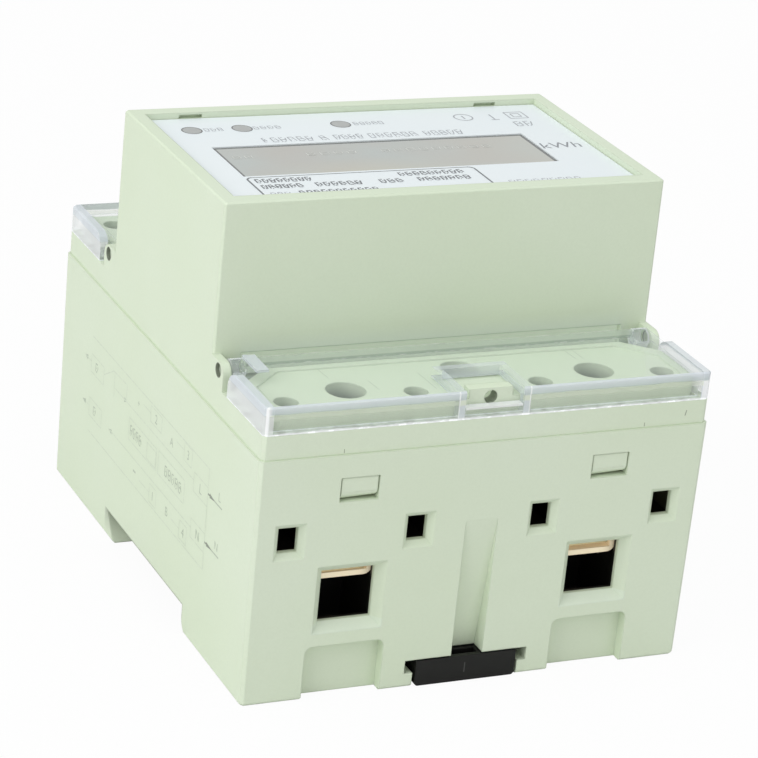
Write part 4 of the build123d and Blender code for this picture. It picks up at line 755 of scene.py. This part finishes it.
def side_print():
    """Wiring diagram: two rows of lines between boxes with plain digits and signs."""
    pale = Print("side_diagram", ink("ink_faint", (205, 216, 195)), on_side)
    pale.lines(0.22, (-29.5, 31.5, 26.0, 31.5), (-29.5, 14.3, 25.7, 14.3))
    pale.lines(0.2, (25.8, 31.5, 25.8, 28.6), (25.8, 25.6, 25.8, 20.6), (25.8, 17.3, 25.8, 14.3))
    for b in (LINE_B, NEUTRAL_B):
        pale.frame(-29.6, b - 1.6, -23.3, b + 1.6, 0.2)
        pale.frame(19.7, b - 1.6, 25.8, b + 1.6, 0.2)
    pale.lines(0.22, (-17.5, 26.9, 19.6, 26.9), (-19.0, 18.8, 19.6, 18.8), (-23.3, 27.0, -18.6, 29.6))
    pale.lines(0.2, (-18.6, 29.6, -12.0, 29.8), (-12.0, 29.8, -12.0, 27.0), (-18.0, 25.2, -18.0, 29.6))
    pale.lines(0.2, (-33.0, 26.9, -29.6, 26.9), (-33.0, 18.8, -29.6, 18.8))
    pale.frame(-10.0, 21.1, 3.1, 24.9, 0.2)
    pale.frame(-1.3, 21.4, 2.8, 24.2, 0.2)
    pale.frame(4.1, 21.1, 16.0, 25.1, 0.2)
    mid = Print("side_diagram_marks", ink("ink_mid", (178, 189, 170)), on_side)
    for a, b, length in ((-12.9, 26.9, 1.3), (-18.0, 18.8, -1.5), (-31.4, 26.9, -1.6), (-31.4, 18.8, -1.6)):
        mid.arrow(a, b, length, 0.9)
    mid.lettering(1.8, 1.4, 0.22, (-9.3, -3.6, 23.0, 70))
    mid.lettering(1.8, 1.6, 0.22, (7.2, 15.2, 23.0, 71))
    for a0, a1, b0, b1, sign in (
        (-0.6, 4.6, 28.3, 31.0, "2"), (14.9, 18.4, 28.3, 31.3, "3"),
        (0.9, 4.1, 14.8, 17.9, "1"), (14.9, 18.2, 14.8, 17.9, "4"),
    ):
        pale.frame(a0, b0, a1, b1, 0.2)
        mid.text(sign, (a0 + a1) / 2, (b0 + b1) / 2, 1.6)
    for a0, a1, b in ((-4.0, -0.7, 29.7), (11.5, 14.8, 29.9), (-3.8, 0.8, 16.3), (11.2, 14.8, 16.3)):
        pale.line(a0, b, a1, b, 0.2)
    mid.text("+", -6.2, 29.0, 1.3)
    mid.line(-6.9, 16.8, -5.7, 16.8, 0.35)
    mid.text("A", 9.3, 28.9, 1.5)
    mid.text("B", 9.0, 16.6, 1.6)
    for b, sign in ((LINE_B, "L"), (NEUTRAL_B, "N")):
        mid.lettering(1.5, 1.8, 0.2, (-27.4, -25.6, b, 75))
        mid.text(sign, 22.7, b, 1.7)
    dark = Print("side_leads", ink("ink_lead", (140, 148, 134)), on_side)
    for b, sign in ((27.35, "L"), (19.1, "N")):
        dark.line(25.9, b, 27.4, b, 0.3)
        dark.arrow(26.6, b, 2.5, 0.75)
        mid.line(28.6, b, 31.9, b, 0.25)
        mid.text(sign, 30.6, b + 1.5, 1.5)
    for piece in (pale, mid, dark):
        piece.finish("meter", "printed_sheet")


def hook_feet(steps=8):
    """Curved lower lips of the four snap hooks, which show in the windows of the lower housing."""
    shares = [index / steps for index in range(steps + 1)]
    for end, y_sign in (("front", -1), ("rear", 1)):
        for side, middle in (("left", -HOOK_X), ("right", HOOK_X)):
            points = []
            for x, drop in ((middle - HOOK_HALF, HOOK_DROP_LEFT), (middle + HOOK_HALF, HOOK_DROP_RIGHT)):
                curve = [(HOOK_FACE_Y - HOOK_CURL * t * t, HOOK_FOOT_Z + 0.02 - drop * t) for t in shares]
                curve += [(HOOK_BACK_Y, HOOK_FOOT_Z - drop + 0.02), (HOOK_BACK_Y, HOOK_FOOT_Z - 0.3)]
                points += [(x, y_sign * y, z) for y, z in curve]
            count = len(points) // 2
            faces = [tuple(range(count)), tuple(range(2 * count - 1, count - 1, -1))]
            for index in range(count):
                after = (index + 1) % count
                faces.append((index, index + count, after + count, after))
            if y_sign > 0:
                faces = [face[::-1] for face in faces]
            add_piece("hook_foot_" + end + "_" + side, points, faces, FINISHES["hook"], "meter")


display_print()
mould_marks()
side_print()
hook_feet()


# Floor, lights, camera
FLOOR_REACH = 3.0
FLOOR_GREY = 0.8
FLOOR_SEEN_WHITE = 0.95
WORLD_STRENGTH = 0.63
LIGHT_TARGET = (0, 0, 0.04)


def camera_blend(tree, seen_share, body, seen, output):
    """Shows the second shader to the camera, by a share, and lights the object with the first."""
    path = add_node(tree, "ShaderNodeLightPath")
    sockets = {0: path.outputs["Is Camera Ray"], 1: seen_share}
    share = add_node(tree, "ShaderNodeMath", {"operation": "MULTIPLY"}, sockets)
    sockets = {0: share.outputs[0], 1: body.outputs[0], 2: seen.outputs[0]}
    blend = add_node(tree, "ShaderNodeMixShader", sockets=sockets)
    tree.links.new(blend.outputs[0], output.inputs["Surface"])


def stage_floor():
    mesh = bpy.data.meshes.new("studio_floor")
    corners = [(-1, -1), (1, -1), (1, 1), (-1, 1)]
    mesh.from_pydata([(x * FLOOR_REACH, y * FLOOR_REACH, 0) for x, y in corners], [], [(0, 1, 2, 3)])
    floor = add_object("studio_floor", mesh)
    material = bpy.data.materials.new("studio_white")
    material.use_nodes = True
    tree = material.node_tree
    body = tree.nodes["Principled BSDF"]
    body.inputs["Base Color"].default_value = (FLOOR_GREY, FLOOR_GREY, FLOOR_GREY, 1)
    body.inputs["Roughness"].default_value = 0.9
    seen = add_node(tree, "ShaderNodeEmission", sockets={"Color": WHITE, "Strength": 1.0})
    camera_blend(tree, FLOOR_SEEN_WHITE, body, seen, tree.nodes["Material Output"])
    mesh.materials.append(material)


def stage_world():
    world = bpy.data.worlds.new("studio")
    bpy.context.scene.world = world
    world.use_nodes = True
    tree = world.node_tree
    body = tree.nodes["Background"]
    body.inputs["Color"].default_value = WHITE
    body.inputs["Strength"].default_value = WORLD_STRENGTH
    seen = add_node(tree, "ShaderNodeBackground", sockets={"Color": WHITE, "Strength": 1.0})
    camera_blend(tree, 1.0, body, seen, tree.nodes["World Output"])


def soft_light(name, spot, size, power, colour=(1.0, 1.0, 1.0)):
    """A square softbox that faces the object."""
    lamp = bpy.data.lights.new(name, "AREA")
    lamp.shape = "SQUARE"
    lamp.size = size
    lamp.energy = power
    lamp.color = colour
    holder = add_object(name, lamp)
    holder.location = spot
    holder.rotation_euler = (Vector(LIGHT_TARGET) - Vector(spot)).to_track_quat("-Z", "Y").to_euler()


def photo_camera():
    """The camera that was solved from the photograph's edges and corners."""
    camera = bpy.data.cameras.new("photo_camera")
    camera.sensor_width = 36
    camera.lens = 149.72
    camera.shift_x = -0.0219
    camera.shift_y = -0.0018
    camera.clip_start = 0.01
    holder = add_object("photo_camera", camera)
    holder.location = (-0.20862, -0.43517, 0.22911)
    holder.rotation_euler = Euler([math.radians(a) for a in (67.83778, -5.46495, -23.89525)])
    bpy.context.scene.camera = holder


stage_floor()
stage_world()
soft_light("left_softbox", (-0.9, -0.25, 0.75), 0.8, 6.0)
soft_light("front_fill", (0.25, -1.1, 0.5), 0.8, 0.8)
soft_light("overhead", (0.1, -0.1, 1.2), 0.9, 2.5, (0.89, 0.955, 1.0))
photo_camera()
bpy.context.scene.view_settings.view_transform = "Standard"
